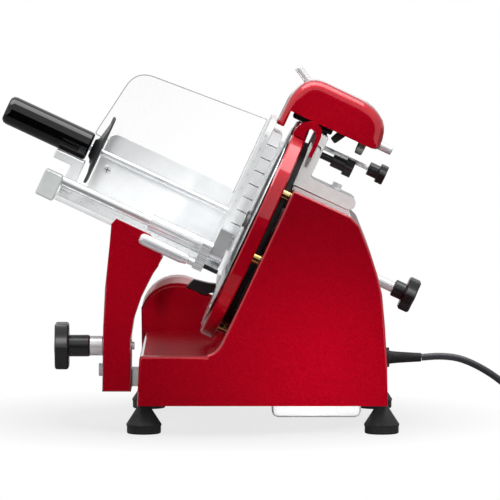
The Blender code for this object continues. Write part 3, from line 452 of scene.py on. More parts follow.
@dataclass
class Workshop:
    """Makes pieces, dresses them and puts them on their bodies."""

    materials: dict[str, Material] = field(default_factory=dict)

    def surface(self, finish: Finish) -> Material:
        """Returns a finish's material, made once."""
        if finish.name not in self.materials:
            self.materials[finish.name] = finish.material()
        return self.materials[finish.name]

    def piece(self, name: str, shape: Shape, matrix: Matrix, body: str, finish: Finish) -> Piece:
        """Turns a shape into a piece that rides on a body.

        Args:
            name: the piece's name.
            shape: its mesh in local metres; it is freed here.
            matrix: its place.
            body: the CAD body it rides on.
            finish: its surface.

        Returns:
            The piece.
        """
        data = bpy.data.meshes.new(name)
        shape.transform(matrix)
        shape.to_mesh(data)
        shape.free()
        found = placed(name, data)
        data.materials.append(self.surface(finish))
        data.shade_smooth()
        data.set_sharp_from_angle(angle=CRISP_ANGLE)
        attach(found, body)
        return found

    def bevel(self, piece: Piece, width: float, segments: int = 2) -> None:
        """Rounds a piece's edges.

        Args:
            piece: a mesh object.
            width: the round's width in millimetres.
            segments: faces across the round.
        """
        modifier = piece.modifiers.new("edges", "BEVEL")
        modifier.width = width / 1000
        modifier.segments = segments
        modifier.limit_method = "ANGLE"
        modifier.angle_limit = BEVEL_ANGLE
        modifier.use_clamp_overlap = True
        # Weighs each face by its size, so that broad faces stay flat in a reflection
        flatter = piece.modifiers.new("flat_faces", "WEIGHTED_NORMAL")
        flatter.weight = 100
        flatter.keep_sharp = False

    def patch(self, piece: Piece, finish: Finish, place: Matrix, chosen: Test) -> None:
        """Gives some of a piece's faces another finish.

        Args:
            piece: a mesh object.
            finish: the other surface.
            place: the frame that the test works in.
            chosen: the test, of a face's centre in millimetres and its direction.
        """
        piece.data.materials.append(self.surface(finish))
        slot = len(piece.data.materials) - 1
        back = place.inverted()
        turn = back.to_3x3()
        for face in piece.data.polygons:
            if chosen(back @ face.center * 1000, turn @ face.normal):
                face.material_index = slot

    def dress(self, node: str, finish: Finish) -> None:
        """Gives a CAD node that stays a better material."""
        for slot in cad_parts[node].material_slots:
            slot.material = self.surface(finish)

    def shell(self, outline: Outline, open_from: int, ends: Pair, edge: float, narrow: Shares) -> Shape:
        """Draws an outline along y and rounds its two ends over, open along its lower side.

        Args:
            outline: the closed outline, the points of the open side last.
            open_from: the first point of the open side.
            ends: the two ends along y.
            edge: the rounding's radius.
            narrow: a smaller share of the rounding for some points.

        Returns:
            The skin, in metres, in the frame of the outline.
        """
        count = len(outline)
        inward = []
        for i, point in enumerate(outline):
            before = Vector(outline[i - 1]) if i else Vector(point) - Vector((0, 1))
            after = Vector(outline[(i + 1) % count])
            way = (Vector(point) - before).normalized() + (after - Vector(point)).normalized()
            side = Vector((way.y, -way.x)).normalized()
            if i > open_from:
                side = Vector((0.0, 0.0))
            elif i == open_from:
                side = Vector((-1.0, 0.0))
            elif i == 0:
                side = Vector((1.0, 0.0))
            inward.append(side * narrow.get(i, 1.0))
        rows = []
        for end, sign in ((ends[0], 1), (ends[1], -1)):
            turn = [math.pi / 2 * k / SHELL_STEPS for k in range(SHELL_STEPS + 1)]
            row = [(edge * (1 - math.sin(a)), end + sign * edge * (1 - math.cos(a))) for a in turn]
            rows += row if sign > 0 else row[::-1]
        skin = bmesh.new()
        rings = [
            [
                skin.verts.new(((p[0] + way.x * inset) / 1000, y / 1000, (p[1] + way.y * inset) / 1000))
                for p, way in zip(outline, inward)
            ]
            for inset, y in rows
        ]
        for one, two in zip(rings, rings[1:]):
            for i in range(open_from):
                skin.faces.new((one[i], one[i + 1], two[i + 1], two[i]))
        skin.faces.new(rings[0])
        skin.faces.new(rings[-1])
        bmesh.ops.recalc_face_normals(skin, faces=skin.faces)
        return skin

    def refined(self, node: str, body: str, finish: Finish, edge: float = 0.5, segments: int = 2) -> Piece:
        """Stands a smoother copy in for a CAD node.

        Args:
            node: the CAD node.
            body: the body it rides on.
            finish: its surface.
            edge: the width of its rounded edges in millimetres, or 0.
            segments: faces across each rounded edge.

        Returns:
            The piece.
        """
        shape = bmesh.new()
        shape.from_mesh(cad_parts[node].data)
        bmesh.ops.remove_doubles(shape, verts=shape.verts, dist=SAME_CAD_POINT)
        bmesh.ops.dissolve_limit(shape, angle_limit=FLAT_ANGLE, verts=shape.verts, edges=shape.edges)
        found = self.piece(f"{node}_finished", shape, Matrix.Identity(4), body, finish)
        if edge:
            self.bevel(found, edge, segments)
        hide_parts(node)
        return found

    def refine(self, rows: Rows) -> None:
        """Stands smoother copies in for CAD nodes, each row with its body, finish and rounded edge."""
        for node, body, finish, edge in rows:
            self.refined(node, body, finish, edge)

    def turned(self, profile: Outline, axis: Axis, at: Place, steps: int = 64) -> Shape:
        """Turns a profile of radius and height about an axis.

        Args:
            profile: points from the axis at one end to the axis at the other, or a closed loop.
            axis: the direction of the axis.
            at: a point on it.
            steps: faces round it.

        Returns:
            The shape, in metres.
        """
        shape = bmesh.new()
        points = [shape.verts.new((radius / 1000, 0, height / 1000)) for radius, height in profile]
        closed = profile[0][0] > 0.001
        edges = [shape.edges.new(pair) for pair in zip(points, points[1:])]
        if closed:
            edges.append(shape.edges.new((points[-1], points[0])))
        bmesh.ops.spin(
            shape,
            geom=[*points, *edges],
            axis=(0, 0, 1),
            cent=(0, 0, 0),
            steps=steps,
            angle=2 * math.pi,
            use_duplicate=False,
        )
        bmesh.ops.remove_doubles(shape, verts=shape.verts, dist=SAME_POINT)
        bmesh.ops.recalc_face_normals(shape, faces=shape.faces)
        shape.transform(Matrix.Translation(Vector(at) / 1000) @ axis.value)
        return shape

    def flat(self, outline: Outline, thickness: float, matrix: Matrix) -> Shape:
        """Makes a plate from an outline.

        Args:
            outline: points in the plate's plane, in millimetres.
            thickness: its thickness in millimetres, along local Z.
            matrix: its place.

        Returns:
            The shape, in metres.
        """
        shape = bmesh.new()
        corners = [shape.verts.new((x / 1000, y / 1000, 0)) for x, y in outline]
        face = shape.faces.new(corners)
        grown = bmesh.ops.extrude_face_region(shape, geom=[face])
        moved = [item for item in grown["geom"] if isinstance(item, bmesh.types.BMVert)]
        bmesh.ops.translate(shape, vec=(0, 0, thickness / 1000), verts=moved)
        bmesh.ops.recalc_face_normals(shape, faces=shape.faces)
        shape.transform(matrix)
        return shape

    def block(self, low: Sequence[float], high: Sequence[float]) -> Shape:
        """Makes a block between two corners.

        Args:
            low: the corner with the lowest values, in millimetres.
            high: the opposite corner.

        Returns:
            The shape, in metres.
        """
        shape = bmesh.new()
        bmesh.ops.create_cube(shape, size=1.0)
        size = [(b - a) / 1000 for a, b in zip(low, high)]
        centre = [(a + b) / 2000 for a, b in zip(low, high)]
        bmesh.ops.scale(shape, vec=size, verts=shape.verts)
        bmesh.ops.translate(shape, vec=centre, verts=shape.verts)
        return shape

    def merged(self, shapes: Iterable[Shape]) -> Shape:
        """Puts several shapes in one mesh.

        Args:
            shapes: the shapes, which are freed.

        Returns:
            One shape that holds them all.
        """
        whole = bmesh.new()
        for shape in shapes:
            data = bpy.data.meshes.new("part_of_a_piece")
            shape.to_mesh(data)
            shape.free()
            whole.from_mesh(data)
            bpy.data.meshes.remove(data)
        return whole


@dataclass
class MainsCord:
    """The mains lead: out of the gland, down to the floor and into a coil outside the view."""

    diameter: float = 7.0
    line_y: float = -60.0
    rest_z: float = 2.9
    drop: Outline = (
        (160.3, 70.0), (180.0, 71.0), (199.0, 68.5), (219.0, 60.0), (239.0, 47.0), (257.0, 30.5),
        (273.0, 15.0), (288.0, 5.6), (300.0, 3.1), (317.6, 2.9),
    )
    coil_start: float = 318.5
    coil_x: float = 318.3
    loops: float = 6.25
    layers: int = 4
    coil_radius: float = 43.5
    loop_spacing: float = 7.6
    layer_rise: float = 7.8
    climb: float = 0.12
    steps: int = 24
    descent: Outline = ((8, 0), (18, -1.0), (30, -4.5), (42, -10.0), (54, -16.0), (66, -19.8))
    to_plug: Outline = ((77, 5.6), (86, 5.2), (96, 5.2))
    pins_after: float = 42.2

    def eased(self, points: Sequence[Vector], count: int) -> list[Vector]:
        """Draws a smooth line through points.

        Args:
            points: the points to pass through.
            count: steps between two of them.

        Returns:
            The smooth line's points.
        """
        ends = [points[0] * 2 - points[1], *points, points[-1] * 2 - points[-2]]
        line = []
        for a, b, c, d in zip(ends, ends[1:], ends[2:], ends[3:]):
            for i in range(count):
                t = i / count
                bend = (a * 2 - b * 5 + c * 4 - d) * t * t + (b * 3 - a - c * 3 + d) * t * t * t
                line.append((b * 2 + (c - a) * t + bend) / 2)
        return [*line, points[-1]]

    def coil(self) -> list[Vector]:
        """Winds the loops in and out, layer by layer.

        Returns:
            The points of the loops.
        """
        y = self.line_y + self.coil_radius
        each = self.loops / self.layers
        points = []
        for i in range(1, int(self.loops * self.steps) + 1):
            turns = i / self.steps
            layer = min(int(turns / each), self.layers - 1)
            along = turns - layer * each
            inward = along if layer % 2 == 0 else each - along
            radius = self.coil_radius - self.loop_spacing * inward
            begun = [(turns - k * each) / (2 * self.climb) + 0.5 for k in range(1, self.layers)]
            climbed = sum(min(max(share, 0.0), 1.0) for share in begun)
            angle = 2 * math.pi * turns
            height = self.rest_z + self.layer_rise * climbed
            across = self.coil_x + radius * math.sin(angle)
            points.append(Vector((across, y - radius * math.cos(angle), height)))
        return points

    def build(self, shop: Workshop) -> None:
        """Builds the lead, its plug and its tie.

        Args:
            shop: the workshop.
        """
        free = [Vector((x, self.line_y, z)) for x, z in self.drop]
        coil = self.coil()
        end = coil[-1]
        tail = [Vector((end.x, end.y + along, end.z + down)) for along, down in self.descent]
        tail += [Vector((end.x, end.y + along, z)) for along, z in self.to_plug]
        route = [*self.eased(free, 4)[:-1], Vector((self.coil_start, self.line_y, self.rest_z)), *coil, *tail]
        data = bpy.data.curves.new("mains_cord", "CURVE")
        data.dimensions = "3D"
        data.bevel_depth = self.diameter / 2000
        data.bevel_resolution = 4
        data.resolution_u = 4
        data.use_fill_caps = True
        spline = data.splines.new("BEZIER")
        spline.bezier_points.add(len(route) - 1)
        for point, place in zip(spline.bezier_points, route):
            point.co = (place + SHIFT) / 1000
            point.handle_left_type = "AUTO"
            point.handle_right_type = "AUTO"
        lead = placed("mains_cord", data)
        lead.data.materials.append(shop.surface(PVC))
        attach(lead, "base")
        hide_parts("cord", "cord_coil")
        plug = shop.refined("plug", "base", RUBBER_AND_GAP_SHADE, 1.0, 3)
        shop.patch(plug, CHROME, BASE, lambda at, way: at.y > end.y + self.pins_after)
        tie = shop.refined("cord_tie", "base", BLACK_ABS, 0.3)


@dataclass
class Studio:
    """The camera, the lamps and the pale floor."""

    target: Place = (39.65, -20.0, 174.3)
    distance: float = 5000.0
    elevation: float = 4.0
    lens: float = 353.0
    floor_size: float = 60.0
    table_edge: float = -0.32
    table_level: float = -0.0003
    table_shown: float = 0.76
    table_fades: Pair = (0.15, 0.32)
    fill: float = 0.15
    # Name, place, aim, width and height in metres, watts, and whether it lights matt surfaces too
    boxes: tuple = (
        ("sky_box", (-0.4, -0.2, 2.2), (0.0, 0.0, 0.1), (2.0, 1.6), 8.0, True),
        ("strip_box", (0.0, -0.15, 2.0), (0.0, 0.0, 0.2), (2.6, 1.3), 48.0, False),
    )
    # Name, place, aim, cone in degrees and watts
    spots: tuple = (
        ("low_spot", (0.55, -2.1, 0.1), (0.115, -0.16, 0.075), 8.5, 375.0),
        ("left_spot", (-0.2, -2.1, 0.45), (-0.14, -0.05, 0.17), 11.0, 185.0),
        ("hood_spot", (0.35, -2.0, 1.0), (0.14, -0.04, 0.35), 6.5, 480.0),
    )
    spot_radius: float = 0.12
    # Dark cards that only reflections see: x from and to, then two pairs of y and z
    flags: tuple = (
        ("front_flag", (-2.0, 2.3), (-6.5, -2.0), (-6.5, 1.9)),
        ("low_flag", (-1.2, 1.2), (-2.6, -0.02), (-0.34, -0.02)),
    )

    def camera(self) -> None:
        """Places the camera as the photograph has it."""
        data = bpy.data.cameras.new("camera")
        data.lens = self.lens
        data.sensor_width = 36.0
        data.clip_end = 200.0
        found = placed("camera", data)
        rise = math.radians(self.elevation)
        way = Vector((0.0, -math.cos(rise), math.sin(rise)))
        found.location = (Vector(self.target) + way * self.distance) / 1000
        found.rotation_euler = (math.pi / 2 - rise, 0.0, 0.0)
        bpy.context.scene.camera = found
        bpy.context.scene.view_settings.view_transform = "Standard"

    def lamp(self, data: bpy.types.Light, at: Place, aim: Place, shown: bool, lights: bool = True) -> None:
        """Stands a lamp in the studio, out of the camera's sight.

        Args:
            data: the lamp.
            at: its place in metres.
            aim: the point that it faces.
            shown: whether gloss reflects it.
            lights: whether it lights matt surfaces.
        """
        found = placed(data.name, data)
        found.location = at
        found.rotation_euler = (Vector(aim) - Vector(at)).to_track_quat("-Z", "Y").to_euler()
        found.visible_camera = False
        found.visible_glossy = shown
        found.visible_diffuse = lights

    def lamps(self) -> None:
        """Adds the soft boxes and the spots."""
        for name, at, aim, size, power, lights in self.boxes:
            data = bpy.data.lights.new(name, "AREA")
            data.shape = "RECTANGLE"
            data.size, data.size_y = size
            data.energy = power
            self.lamp(data, at, aim, True, lights)
        for name, at, aim, cone, power in self.spots:
            data = bpy.data.lights.new(name, "SPOT")
            data.energy = power
            data.spot_size = math.radians(cone)
            data.spot_blend = 1.0
            data.shadow_soft_size = self.spot_radius
            self.lamp(data, at, aim, False)

    def world(self) -> None:
        """Makes a white tent: white to the camera, to glossy and to clear surfaces."""
        world = bpy.data.worlds.new("studio")
        world.use_nodes = True
        tree = world.node_tree
        tree.nodes.clear()
        path = add(tree, "ShaderNodeLightPath").outputs
        most = {"operation": "MAXIMUM"}
        sharp = add(tree, "ShaderNodeMath", most, {0: path["Is Camera Ray"], 1: path["Is Transmission Ray"]})
        seen = add(tree, "ShaderNodeMath", most, {0: sharp.outputs[0], 1: path["Is Glossy Ray"]})
        ends = {"Value": seen.outputs[0], "To Min": self.fill, "To Max": 1.0}
        strength = add(tree, "ShaderNodeMapRange", inputs=ends).outputs["Result"]
        back = add(tree, "ShaderNodeBackground", inputs={"Color": WHITE, "Strength": strength})
        add(tree, "ShaderNodeOutputWorld", inputs={"Surface": back.outputs["Background"]})
        bpy.context.scene.world = world

    def card(self, name: str, x: Pair, low: Pair, high: Pair, material: Material, shown: bool = True) -> None:
        """Adds a flat card to the studio.

        Args:
            name: the card's name.
            x: where it starts and ends along x, in metres.
            low: y and z of its first edge.
            high: y and z of its other edge.
            material: its surface.
            shown: whether the camera sees it.
        """
        shape = bmesh.new()
        corners = ((x[0], *low), (x[1], *low), (x[1], *high), (x[0], *high))
        shape.faces.new([shape.verts.new(corner) for corner in corners])
        data = bpy.data.meshes.new(name)
        shape.to_mesh(data)
        shape.free()
        found = placed(name, data)
        data.materials.append(material)
        found.visible_camera = shown

    def table(self) -> Material:
        """Makes the pale table's surface: white paper, that keeps soft shadows.

        Returns:
            The material.
        """
        paper = Finish("white_paper", "FFFFFF", "FCFCFC", 0.7, specular=0.1)
        material, tree, main = paper.shader()
        colours = ramp(tree, paper.mottle(tree, 2.0), zip(CLOUD_ENDS, (paper.colour, paper.shade)))
        tree.links.new(colours.outputs["Color"], main.inputs["Base Color"])
        seen = add(tree, "ShaderNodeLightPath").outputs["Is Camera Ray"]
        place = add(tree, "ShaderNodeTexCoord").outputs["Object"]
        away = add(tree, "ShaderNodeVectorMath", {"operation": "LENGTH"}, {0: place}).outputs["Value"]
        near, far = self.table_fades
        ends = {"Value": away, "From Min": near, "From Max": far, "To Min": self.table_shown, "To Max": 1.0}
        bright = add(tree, "ShaderNodeMapRange", inputs=ends).outputs["Result"]
        share = add(tree, "ShaderNodeMath", {"operation": "MULTIPLY"}, {0: seen, 1: bright}).outputs[0]
        white = add(tree, "ShaderNodeEmission", inputs={"Color": WHITE, "Strength": 1.0}).outputs["Emission"]
        mixed = add(tree, "ShaderNodeMixShader", inputs={0: share, 1: main.outputs["BSDF"], 2: white})
        tree.links.new(mixed.outputs["Shader"], tree.nodes["Material Output"].inputs["Surface"])
        return material

    def build(self) -> None:
        """Builds the studio."""
        self.camera()
        self.world()
        far = self.floor_size
        level = self.table_level
        self.card("table", (-far, far), (self.table_edge, level), (far, level), self.table())
        felt = Finish("black_felt", "0A0A0A", "060606", 0.9, 0.0, 3.0, 0.0, specular=0.0).material()
        for name, x, low, high in self.flags:
            self.card(name, x, low, high, felt, False)
        self.lamps()


@dataclass
class Stand:
    """The red casting with its feet, its covers, its drive and the mains lead's gland."""

    painted_gap_shade_radius: Pair = (91.0, 102.0)
    painted_gap_shade_depth: Pair = (8.9, 15.4)
    painted_gap_shade_chamfer: Pair = (1.5, 1.2)
    painted_gap_shade_groove: Pair = (2.0, 1.0)

    def build(self, shop: Workshop) -> None:
        """Builds the casting and what is fixed to it.

        Args:
            shop: the workshop.
        """
        shop.refined("housing", "base", RED_ENAMEL, 2.4, 4)
        shop.refined("base_plate", "base", CAST_ALUMINIUM, 0.3)
        shop.refined("bottom_cover", "base", ANODISED, 0.8)
        for corner in ("rear_left", "rear_right", "front_left", "front_right"):
            shop.refined(f"foot_{corner}", "base", RUBBER_AND_GAP_SHADE, 0.6)
        shop.refined("bearing_housing", "base", CAST_ALUMINIUM, 0.5)
        shop.refined("cord_gland", "base", RUBBER_AND_GAP_SHADE, 0.5)
        shop.refined("slice_deflector", "base", BLACK_ABS, 0.4)
        for node in ("motor", "motor_pulley", "hub_shaft", "hub_bearings", "stay_tube"):
            shop.dress(node, ZINC_STEEL)
        shop.dress("drive_belt", RUBBER_AND_GAP_SHADE)
        self.painted_gap_shade(shop)

    def painted_gap_shade(self, shop: Workshop) -> None:
        """Builds a black rubber ring in the gap between the guard ring and the casting: it stands for the
        parts behind the gap, and its black is painted shade.

        Args:
            shop: the workshop.
        """
        inner, outer = self.painted_gap_shade_radius
        near, far = self.painted_gap_shade_depth
        chamfer, rise = self.painted_gap_shade_chamfer
        groove, step = self.painted_gap_shade_groove
        edge = ((inner, 0), (outer - chamfer, 0), (outer, rise))
        hollow = ((inner, step), (inner + groove, groove))
        profile = [(radius, near + along) for radius, along in edge]
        profile += [(radius, far - along) for radius, along in (*edge[::-1], *hollow)]
        profile += [(radius, near + along) for radius, along in hollow[::-1]]
        # A black ring closing the gap: painted shade where the gap lies in shadow
        ring = shop.turned(profile, Axis.ALONG_X, (0, HUB_Y, 0), 120)
        shop.piece("painted_gap_shade_ring", ring, TILTED, "base", RUBBER_AND_GAP_SHADE)


@dataclass
class Cutting:
    """The blade, its cover with the tie and knob, and the guard ring."""

    posts: Pair = (9.0, 16.5)
    posts_reach: float = 106.0

    def build(self, shop: Workshop) -> None:
        """Builds the blade and what surrounds it.

        Args:
            shop: the workshop.
        """
        shop.refined("blade", "blade_group", BLADE_STEEL, 0.0)
        shop.refined("blade_cover", "base", FACED_ALUMINIUM, 0.4)
        shop.refined("tie_rod", "cover_tie", FACED_ALUMINIUM, 0.4)
        shop.refined("tie_knob", "cover_tie", PHENOLIC, 1.4, 3)
        ring = shop.refined("guard_ring", "base", RED_ENAMEL, 1.0, 3)
        low, high = self.posts
        shop.patch(ring, BRASS, TILTED, lambda at, way: low < at.x < high and abs(at.z) < self.posts_reach)


@dataclass
class Thickness:
    """The gauge plate with its arm and rod, and the dial that moves it."""

    dial_at: Pair = (-89.0, 98.0)
    dial_face: float = 185.0
    marks: int = 16
    mark_radius: float = 31.0
    mark_size: Pair = (0.45, 0.12)
    mark_lengths: Pair = (4.5, 2.6)
    mark_sweep: float = 300.0

    def build(self, shop: Workshop) -> None:
        """Builds the gauge and the dial.

        Args:
            shop: the workshop.
        """
        plate = shop.refined("gauge_plate", "gauge", ANODISED, 0.5)
        # The rim's faces get grey blotches: a painted reflection of the surroundings
        shop.patch(plate, RIM_PAINTED_REFLECTION, TILTED, lambda at, way: abs(way.x) < 0.5)
        shop.refined("gauge_arm", "gauge", BLACK_ABS, 0.5)
        shop.refined("gauge_slide_rod", "base", CHROME, 0.3)
        shop.refined("thickness_dial", "dial", ROSE_ACRYLIC, 0.6)
        self.scale(shop)

    def scale(self, shop: Workshop) -> None:
        """Inks the dial's scale: a line for each step and a longer one for each whole step.

        Args:
            shop: the workshop.
        """
        x, z = self.dial_at
        shapes = []
        for i in range(self.marks):
            wide, thick = self.mark_size
            line = shop.block((-wide, -thick, 0.0), (wide, thick, self.mark_lengths[i % 2]))
            turn = Matrix.Rotation(math.radians(self.mark_sweep * i / (self.marks - 1)), 4, "Y")
            out = Matrix.Translation(Vector((0, 0, self.mark_radius)) / 1000)
            centre = Matrix.Translation(Vector((x, self.dial_face, z)) / 1000)
            line.transform(centre @ turn @ out)
            shapes.append(line)
        shop.piece("dial_scale", shop.merged(shapes), BASE, "dial", DARK_INK_AND_SLOT_SHADE)


@dataclass
class Switches:
    """The switch plate with its two buttons and the signs on them."""

    sign_face: float = 157.5
    sign_line: Place = (0.5, 3.3, 0.12)
    sign_ring: Outline = ((2.4, -0.1), (3.3, -0.1), (3.3, 0.12), (2.4, 0.12))
    on_at: Pair = (58.0, 54.0)
    off_at: Pair = (82.0, 54.0)

    def build(self, shop: Workshop) -> None:
        """Builds the switches.

        Args:
            shop: the workshop.
        """
        shop.refined("switch_plate", "base", BLACK_ABS, 0.5)
        shop.refined("button_on", "on_button", GREEN_ABS, 0.5)
        shop.refined("button_off", "off_button", RED_ABS, 0.5)
        self.signs(shop)

    def signs(self, shop: Workshop) -> None:
        """Inks a line on the start button and a ring on the stop button.

        Args:
            shop: the workshop.
        """
        y = self.sign_face
        x, z = self.on_at
        wide, tall, thick = self.sign_line
        line = shop.block((x - wide, y - thick, z - tall), (x + wide, y + thick, z + tall))
        shop.piece("sign_on", line, BASE, "on_button", WHITE_INK)
        x, z = self.off_at
        ring = shop.turned(self.sign_ring, Axis.ALONG_Y, (x, y, z), 32)
        shop.piece("sign_off", ring, BASE, "off_button", WHITE_INK)


@dataclass
class Carriage:
    """The leg, the tray with its wall and clear guard, the slide rod and the lock knob."""

    guard: Outline = ((-188, 12), (-176.4, 91.0), (-30.6, 102.0), (-30.6, 8))
    guard_rounds: tuple[float, ...] = (4.0, 20.0, 1.5, 2.0)
    guard_y: Pair = (109.6, 112.4)
    painted_rim_width: float = 1.0
    bolt_within: Pair = (-161.2, 70.0)
    knob_axis: Pair = (-70.0, 82.7)
    spacer: Pair = (-174.4, 10.6)
    screw_at: Place = (-160.0, 105.3, -16.0)
    screw_head: Outline = ((0, -1.3), (2.6, -1.2), (4.1, -0.6), (4.6, 0.2), (0, 0.3))
    slot_shade_half: Pair = (2.9, 0.4)
    slot_shade_depth: Pair = (-1.38, -1.1)
    dark_edge_strip_u: Pair = (-60.0, -16.0)
    dark_edge_strip_v: Pair = (-52.2, -47.9)
    dark_edge_strip_y: float = -99.9
    dark_edge_strip_thick: float = 1.2

    def build(self, shop: Workshop) -> None:
        """Builds the carriage.

        Args:
            shop: the workshop.
        """
        shop.refined("slide_block", "carriage", CAST_ALUMINIUM, 0.6)
        leg = shop.refined("carriage_leg", "carriage", RED_ENAMEL, 1.0, 3)
        knob = shop.refined("carriage_lock_knob", "carriage_lock", PHENOLIC, 1.2, 3)
        leg_face, bolt_top = self.bolt_within
        shop.patch(leg, ZINC_STEEL, BASE, lambda at, way: at.x < leg_face and at.z < bolt_top)
        start, radius = self.spacer
        y, z = self.knob_axis
        shop.patch(
            knob, ZINC_STEEL, BASE, lambda at, way: at.x > start and math.hypot(at.y - y, at.z - z) < radius
        )
        rows = (
            ("tray_plate", "carriage", ANODISED, 0.6),
            ("tray_wall", "carriage", ANODISED, 0.5),
            ("slide_rod", "carriage", POLISHED, 0.4),
            ("end_block", "carriage", CAST_ALUMINIUM, 0.8),
            ("handle_rest", "carriage", ANODISED, 0.6),
            ("carriage_rod", "base", CHROME, 0.3),
            ("guide_bar", "base", CHROME, 0.3),
        )
        shop.refine(rows)
        self.clear_guard(shop)
        self.wall_screw(shop)
        self.dark_edge_strip(shop)

    def wall_screw(self, shop: Workshop) -> None:
        """Builds the screw in the tray's wall, with painted shade for its cross slot.

        Args:
            shop: the workshop.
        """
        u, y, v = self.screw_at
        head = shop.turned(self.screw_head, Axis.ALONG_Y, self.screw_at, 32)
        shop.piece("wall_screw", head, TILTED, "carriage", ZINC_STEEL)
        # The cross slot is not cut: two thin dark blocks on the head are painted shade
        near, far = self.slot_shade_depth
        slot_shade_arms = [
            shop.block((u - a, y + near, v - b), (u + a, y + far, v + b))
            for a, b in (self.slot_shade_half, self.slot_shade_half[::-1])
        ]
        shop.piece("wall_screw_painted_slot_shade", shop.merged(slot_shade_arms), TILTED, "carriage", DARK_INK_AND_SLOT_SHADE)

    def dark_edge_strip(self, shop: Workshop) -> None:
        """Builds a thin dark strip along the tray's near edge.

        Args:
            shop: the workshop.
        """
        low, high = self.dark_edge_strip_u
        under, over = self.dark_edge_strip_v
        outline = rounded_outline(((low, under), (high, under), (high, over), (low, over)), [1.5] * 4, 4)
        strip = shop.flat(outline, self.dark_edge_strip_thick, upright(self.dark_edge_strip_y))
        shop.piece("tray_dark_edge_strip", strip, TILTED, "carriage", RUBBER_AND_GAP_SHADE)

    def clear_guard(self, shop: Workshop) -> None:
        """Builds the clear guard on the tray's wall.

        Args:
            shop: the workshop.
        """
        outline = rounded_outline(self.guard, self.guard_rounds)
        low, high = self.guard_y
        sheet = shop.flat(outline, high - low, upright(high))
        sheet.normal_update()
        broad = [face for face in sheet.faces if len(face.verts) > 8]
        bmesh.ops.inset_individual(sheet, faces=broad, thickness=self.painted_rim_width / 1000, use_even_offset=True)
        piece = shop.piece("clear_guard_sheet", sheet, TILTED, "carriage", POLYCARBONATE)
        shop.patch(piece, POLYCARBONATE_PAINTED_EDGE, TILTED, lambda at, way: abs(way.y) < 0.5)
        # The rim is painted grey face on: a painted reflection of the light trapped along the cut
        for face in piece.data.polygons:
            if len(face.vertices) == 4:
                face.material_index = 1
        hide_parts("clear_guard")


@dataclass
class Pusher:
    """The food pusher: boss, grip, toothed plate, push rod, hand guard and handle."""

    plate: Outline = ((-71.7, -44), (60, -44), (60, 112), (-71.7, 112))
    rounds: tuple[float, ...] = (3.0, 8.0, 26.0, 26.0)
    plate_u: Pair = (-31.0, -25.0)
    tooth_step: float = 14.4
    tooth_first: float = 92.9
    teeth: int = 10
    tooth_inset: Pair = (14.0, 3.0)
    # Out from the plate's face and up from the tooth's middle
    tooth: Outline = ((-0.4, -6.9), (-0.4, 6.9), (10.5, 6.6), (12.0, 5.0), (12.0, -6.0), (9.0, -6.9))
    pin: Outline = ((0, -0.5), (0.9, -0.4), (1.0, 0.1), (0, 0.3))
    pin_from: Place = (-29.4, -0.1, 0.4)

    def build(self, shop: Workshop) -> None:
        """Builds the food pusher.

        Args:
            shop: the workshop.
        """
        rows = (
            ("pusher_boss", "pusher_slider", ANODISED_BAR, 0.5),
            ("lever_grip", "pusher_slider", ANODISED_BAR, 0.6),
            ("pusher_bracket", "pusher", POLISHED, 0.0),
            ("push_rod", "pusher", ANODISED_BAR, 0.3),
            ("hand_guard", "pusher", BLACK_ABS, 0.5),
            ("pusher_handle", "pusher", BLACK_ACRYLIC, 1.0),
        )
        shop.refine(rows)
        self.toothed(shop)

    def toothed(self, shop: Workshop) -> None:
        """Builds the plate with its rows of saw teeth and the pins at their feet.

        Args:
            shop: the workshop.
        """
        outline = rounded_outline(self.plate, self.rounds)
        back, front = self.plate_u
        facing = Matrix(((0, 0, 1, back / 1000), (1, 0, 0, 0), (0, 1, 0, 0), (0, 0, 0, 1)))
        sheet = shop.flat(outline, front - back, facing)
        piece = shop.piece("toothed_plate", sheet, TILTED, "pusher", ANODISED)
        shop.bevel(piece, 0.8, 2)
        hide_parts("pusher_plate")
        teeth, pins = [], []
        low_y, high_y = self.plate[0][0], self.plate[1][0]
        pin_u, pin_y, pin_v = self.pin_from
        for i in range(self.teeth):
            v = self.tooth_first - i * self.tooth_step
            inset = self.tooth_inset[i > 0]
            profile = [(front + out, v + up) for out, up in self.tooth]
            teeth.append(shop.flat(profile, high_y - low_y - 2 * inset, upright(high_y - inset)))
            pins.append(shop.turned(self.pin, Axis.ALONG_Y, (pin_u, low_y + pin_y, v + pin_v), 16))
        rows = shop.piece("plate_teeth", shop.merged(teeth), TILTED, "pusher", ANODISED)
        shop.bevel(rows, 0.4, 1)
        shop.piece("tooth_pins", shop.merged(pins), TILTED, "pusher", ZINC_STEEL)


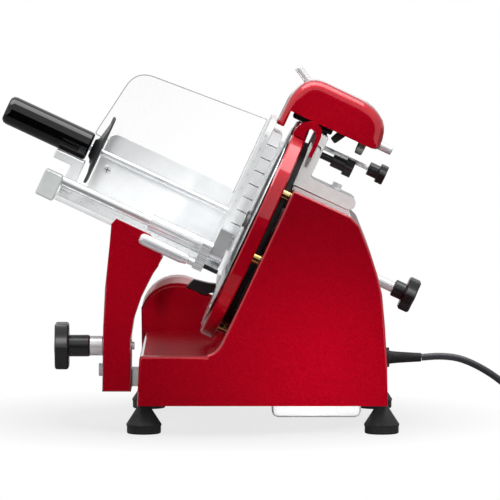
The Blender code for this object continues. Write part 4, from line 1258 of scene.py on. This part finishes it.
@dataclass
class Sharpener:
    """The sharpener: bracket, post, cover, holder, two stones, buttons and knobs."""

    cover: Outline = (
        (-24, 108.0), (-23.9, 121.0), (-23.6, 134.0), (-22.8, 140.5), (-21.3, 146.0), (-19.0, 152.0),
        (-16.0, 157.0), (-11.8, 161.4), (-6.5, 164.2), (-1.5, 165.5), (4.0, 166.0), (17.0, 165.9),
        (30.0, 165.8), (44.0, 165.6), (52.0, 164.6), (60.0, 162.5), (66.0, 159.8), (71.5, 156.0),
        (75.4, 151.0), (78.0, 145.0), (79.6, 138.5), (80.5, 132.5), (79.6, 128.0), (77.4, 126.0),
        (74.0, 125.5), (28.0, 125.5), (-16.4, 125.5), (-16.4, 108.6),
    )
    cover_y: Pair = (-52.0, 12.0)
    cover_round: float = 11.0
    cover_wall: float = 3.0
    # How much of the rounding each point of the outline takes, where it isn't all of it
    cover_narrow: ClassVar[Shares] = {0: 0.5, 1: 0.55, 2: 0.7, 3: 0.85, 21: 0.75, 22: 0.4, 23: 0.25, 24: 0.15}
    cover_open_from: int = 24
    # The bolt's head on the bracket's arm, and the screw on its upright: start, middle and reach
    bolt_from: Pair = (48.0, 72.4)
    bolt_y: Pair = (-20.0, 9.0)
    screw_from: float = 29.0
    screw_at: Pair = (8.0, 104.0)
    screw_radius: float = 4.0

    def build(self, shop: Workshop) -> None:
        """Builds the sharpener.

        Args:
            shop: the workshop.
        """
        bracket = shop.refined("sharpener_bracket", "base", CAST_ALUMINIUM, 0.8)
        shop.patch(bracket, ZINC_STEEL, TILTED, self.on_bolt)
        shop.patch(bracket, ZINC_STEEL, TILTED, self.on_screw)
        rows = (
            ("adjust_knob", "base", PHENOLIC, 0.7),
            ("sharpener_post", "sharpener_pin", CHROME, 0.4),
            ("stone_holder", "sharpener_head", BLACK_ABS, 0.6),
            ("stone_button_1", "stone_shaft_1", ZINC_STEEL, 0.4),
            ("stone_1", "stone_wheel_1", DARK_GRIT, 0.3),
            ("stone_button_2", "stone_shaft_2", ZINC_STEEL, 0.4),
            ("stone_2", "stone_wheel_2", GREEN_GRIT, 0.3),
            ("sharpener_lock_knob", "sharpener_clamp", PHENOLIC, 0.7),
        )
        shop.refine(rows)
        self.hood(shop)

    def on_bolt(self, at: Vector, way: Vector) -> bool:
        """Tells whether a face of the bracket belongs to the head of its bolt."""
        (start, under), (middle, reach) = self.bolt_from, self.bolt_y
        return at.z > under and at.x > start and abs(at.y - middle) < reach

    def on_screw(self, at: Vector, way: Vector) -> bool:
        """Tells whether a face of the bracket belongs to the end of its screw."""
        y, z = self.screw_at
        return at.x > self.screw_from and math.hypot(at.y - y, at.z - z) < self.screw_radius

    def hood(self, shop: Workshop) -> None:
        """Builds the domed red cover over the stones.

        Args:
            shop: the workshop.
        """
        skin = shop.shell(self.cover, self.cover_open_from, self.cover_y, self.cover_round, self.cover_narrow)
        piece = shop.piece("sharpener_hood", skin, TILTED, "sharpener_head", RED_ENAMEL)
        thick = piece.modifiers.new("wall", "SOLIDIFY")
        thick.thickness = self.cover_wall / 1000
        thick.offset = -1.0
        thick.use_even_offset = True
        shop.bevel(piece, 0.7, 2)
        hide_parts("sharpener_cover")


def main() -> None:
    """Builds the studio and every piece of the slicer."""
    logging.basicConfig(level=logging.INFO, format="%(message)s")
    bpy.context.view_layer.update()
    Studio().build()
    shop = Workshop()
    for part in (MainsCord(), Stand(), Cutting(), Thickness(), Switches(), Carriage(), Pusher(), Sharpener()):
        part.build(shop)
        LOG.info("%s done", type(part).__name__)
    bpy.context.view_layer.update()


if __name__ == "__main__":
    main()
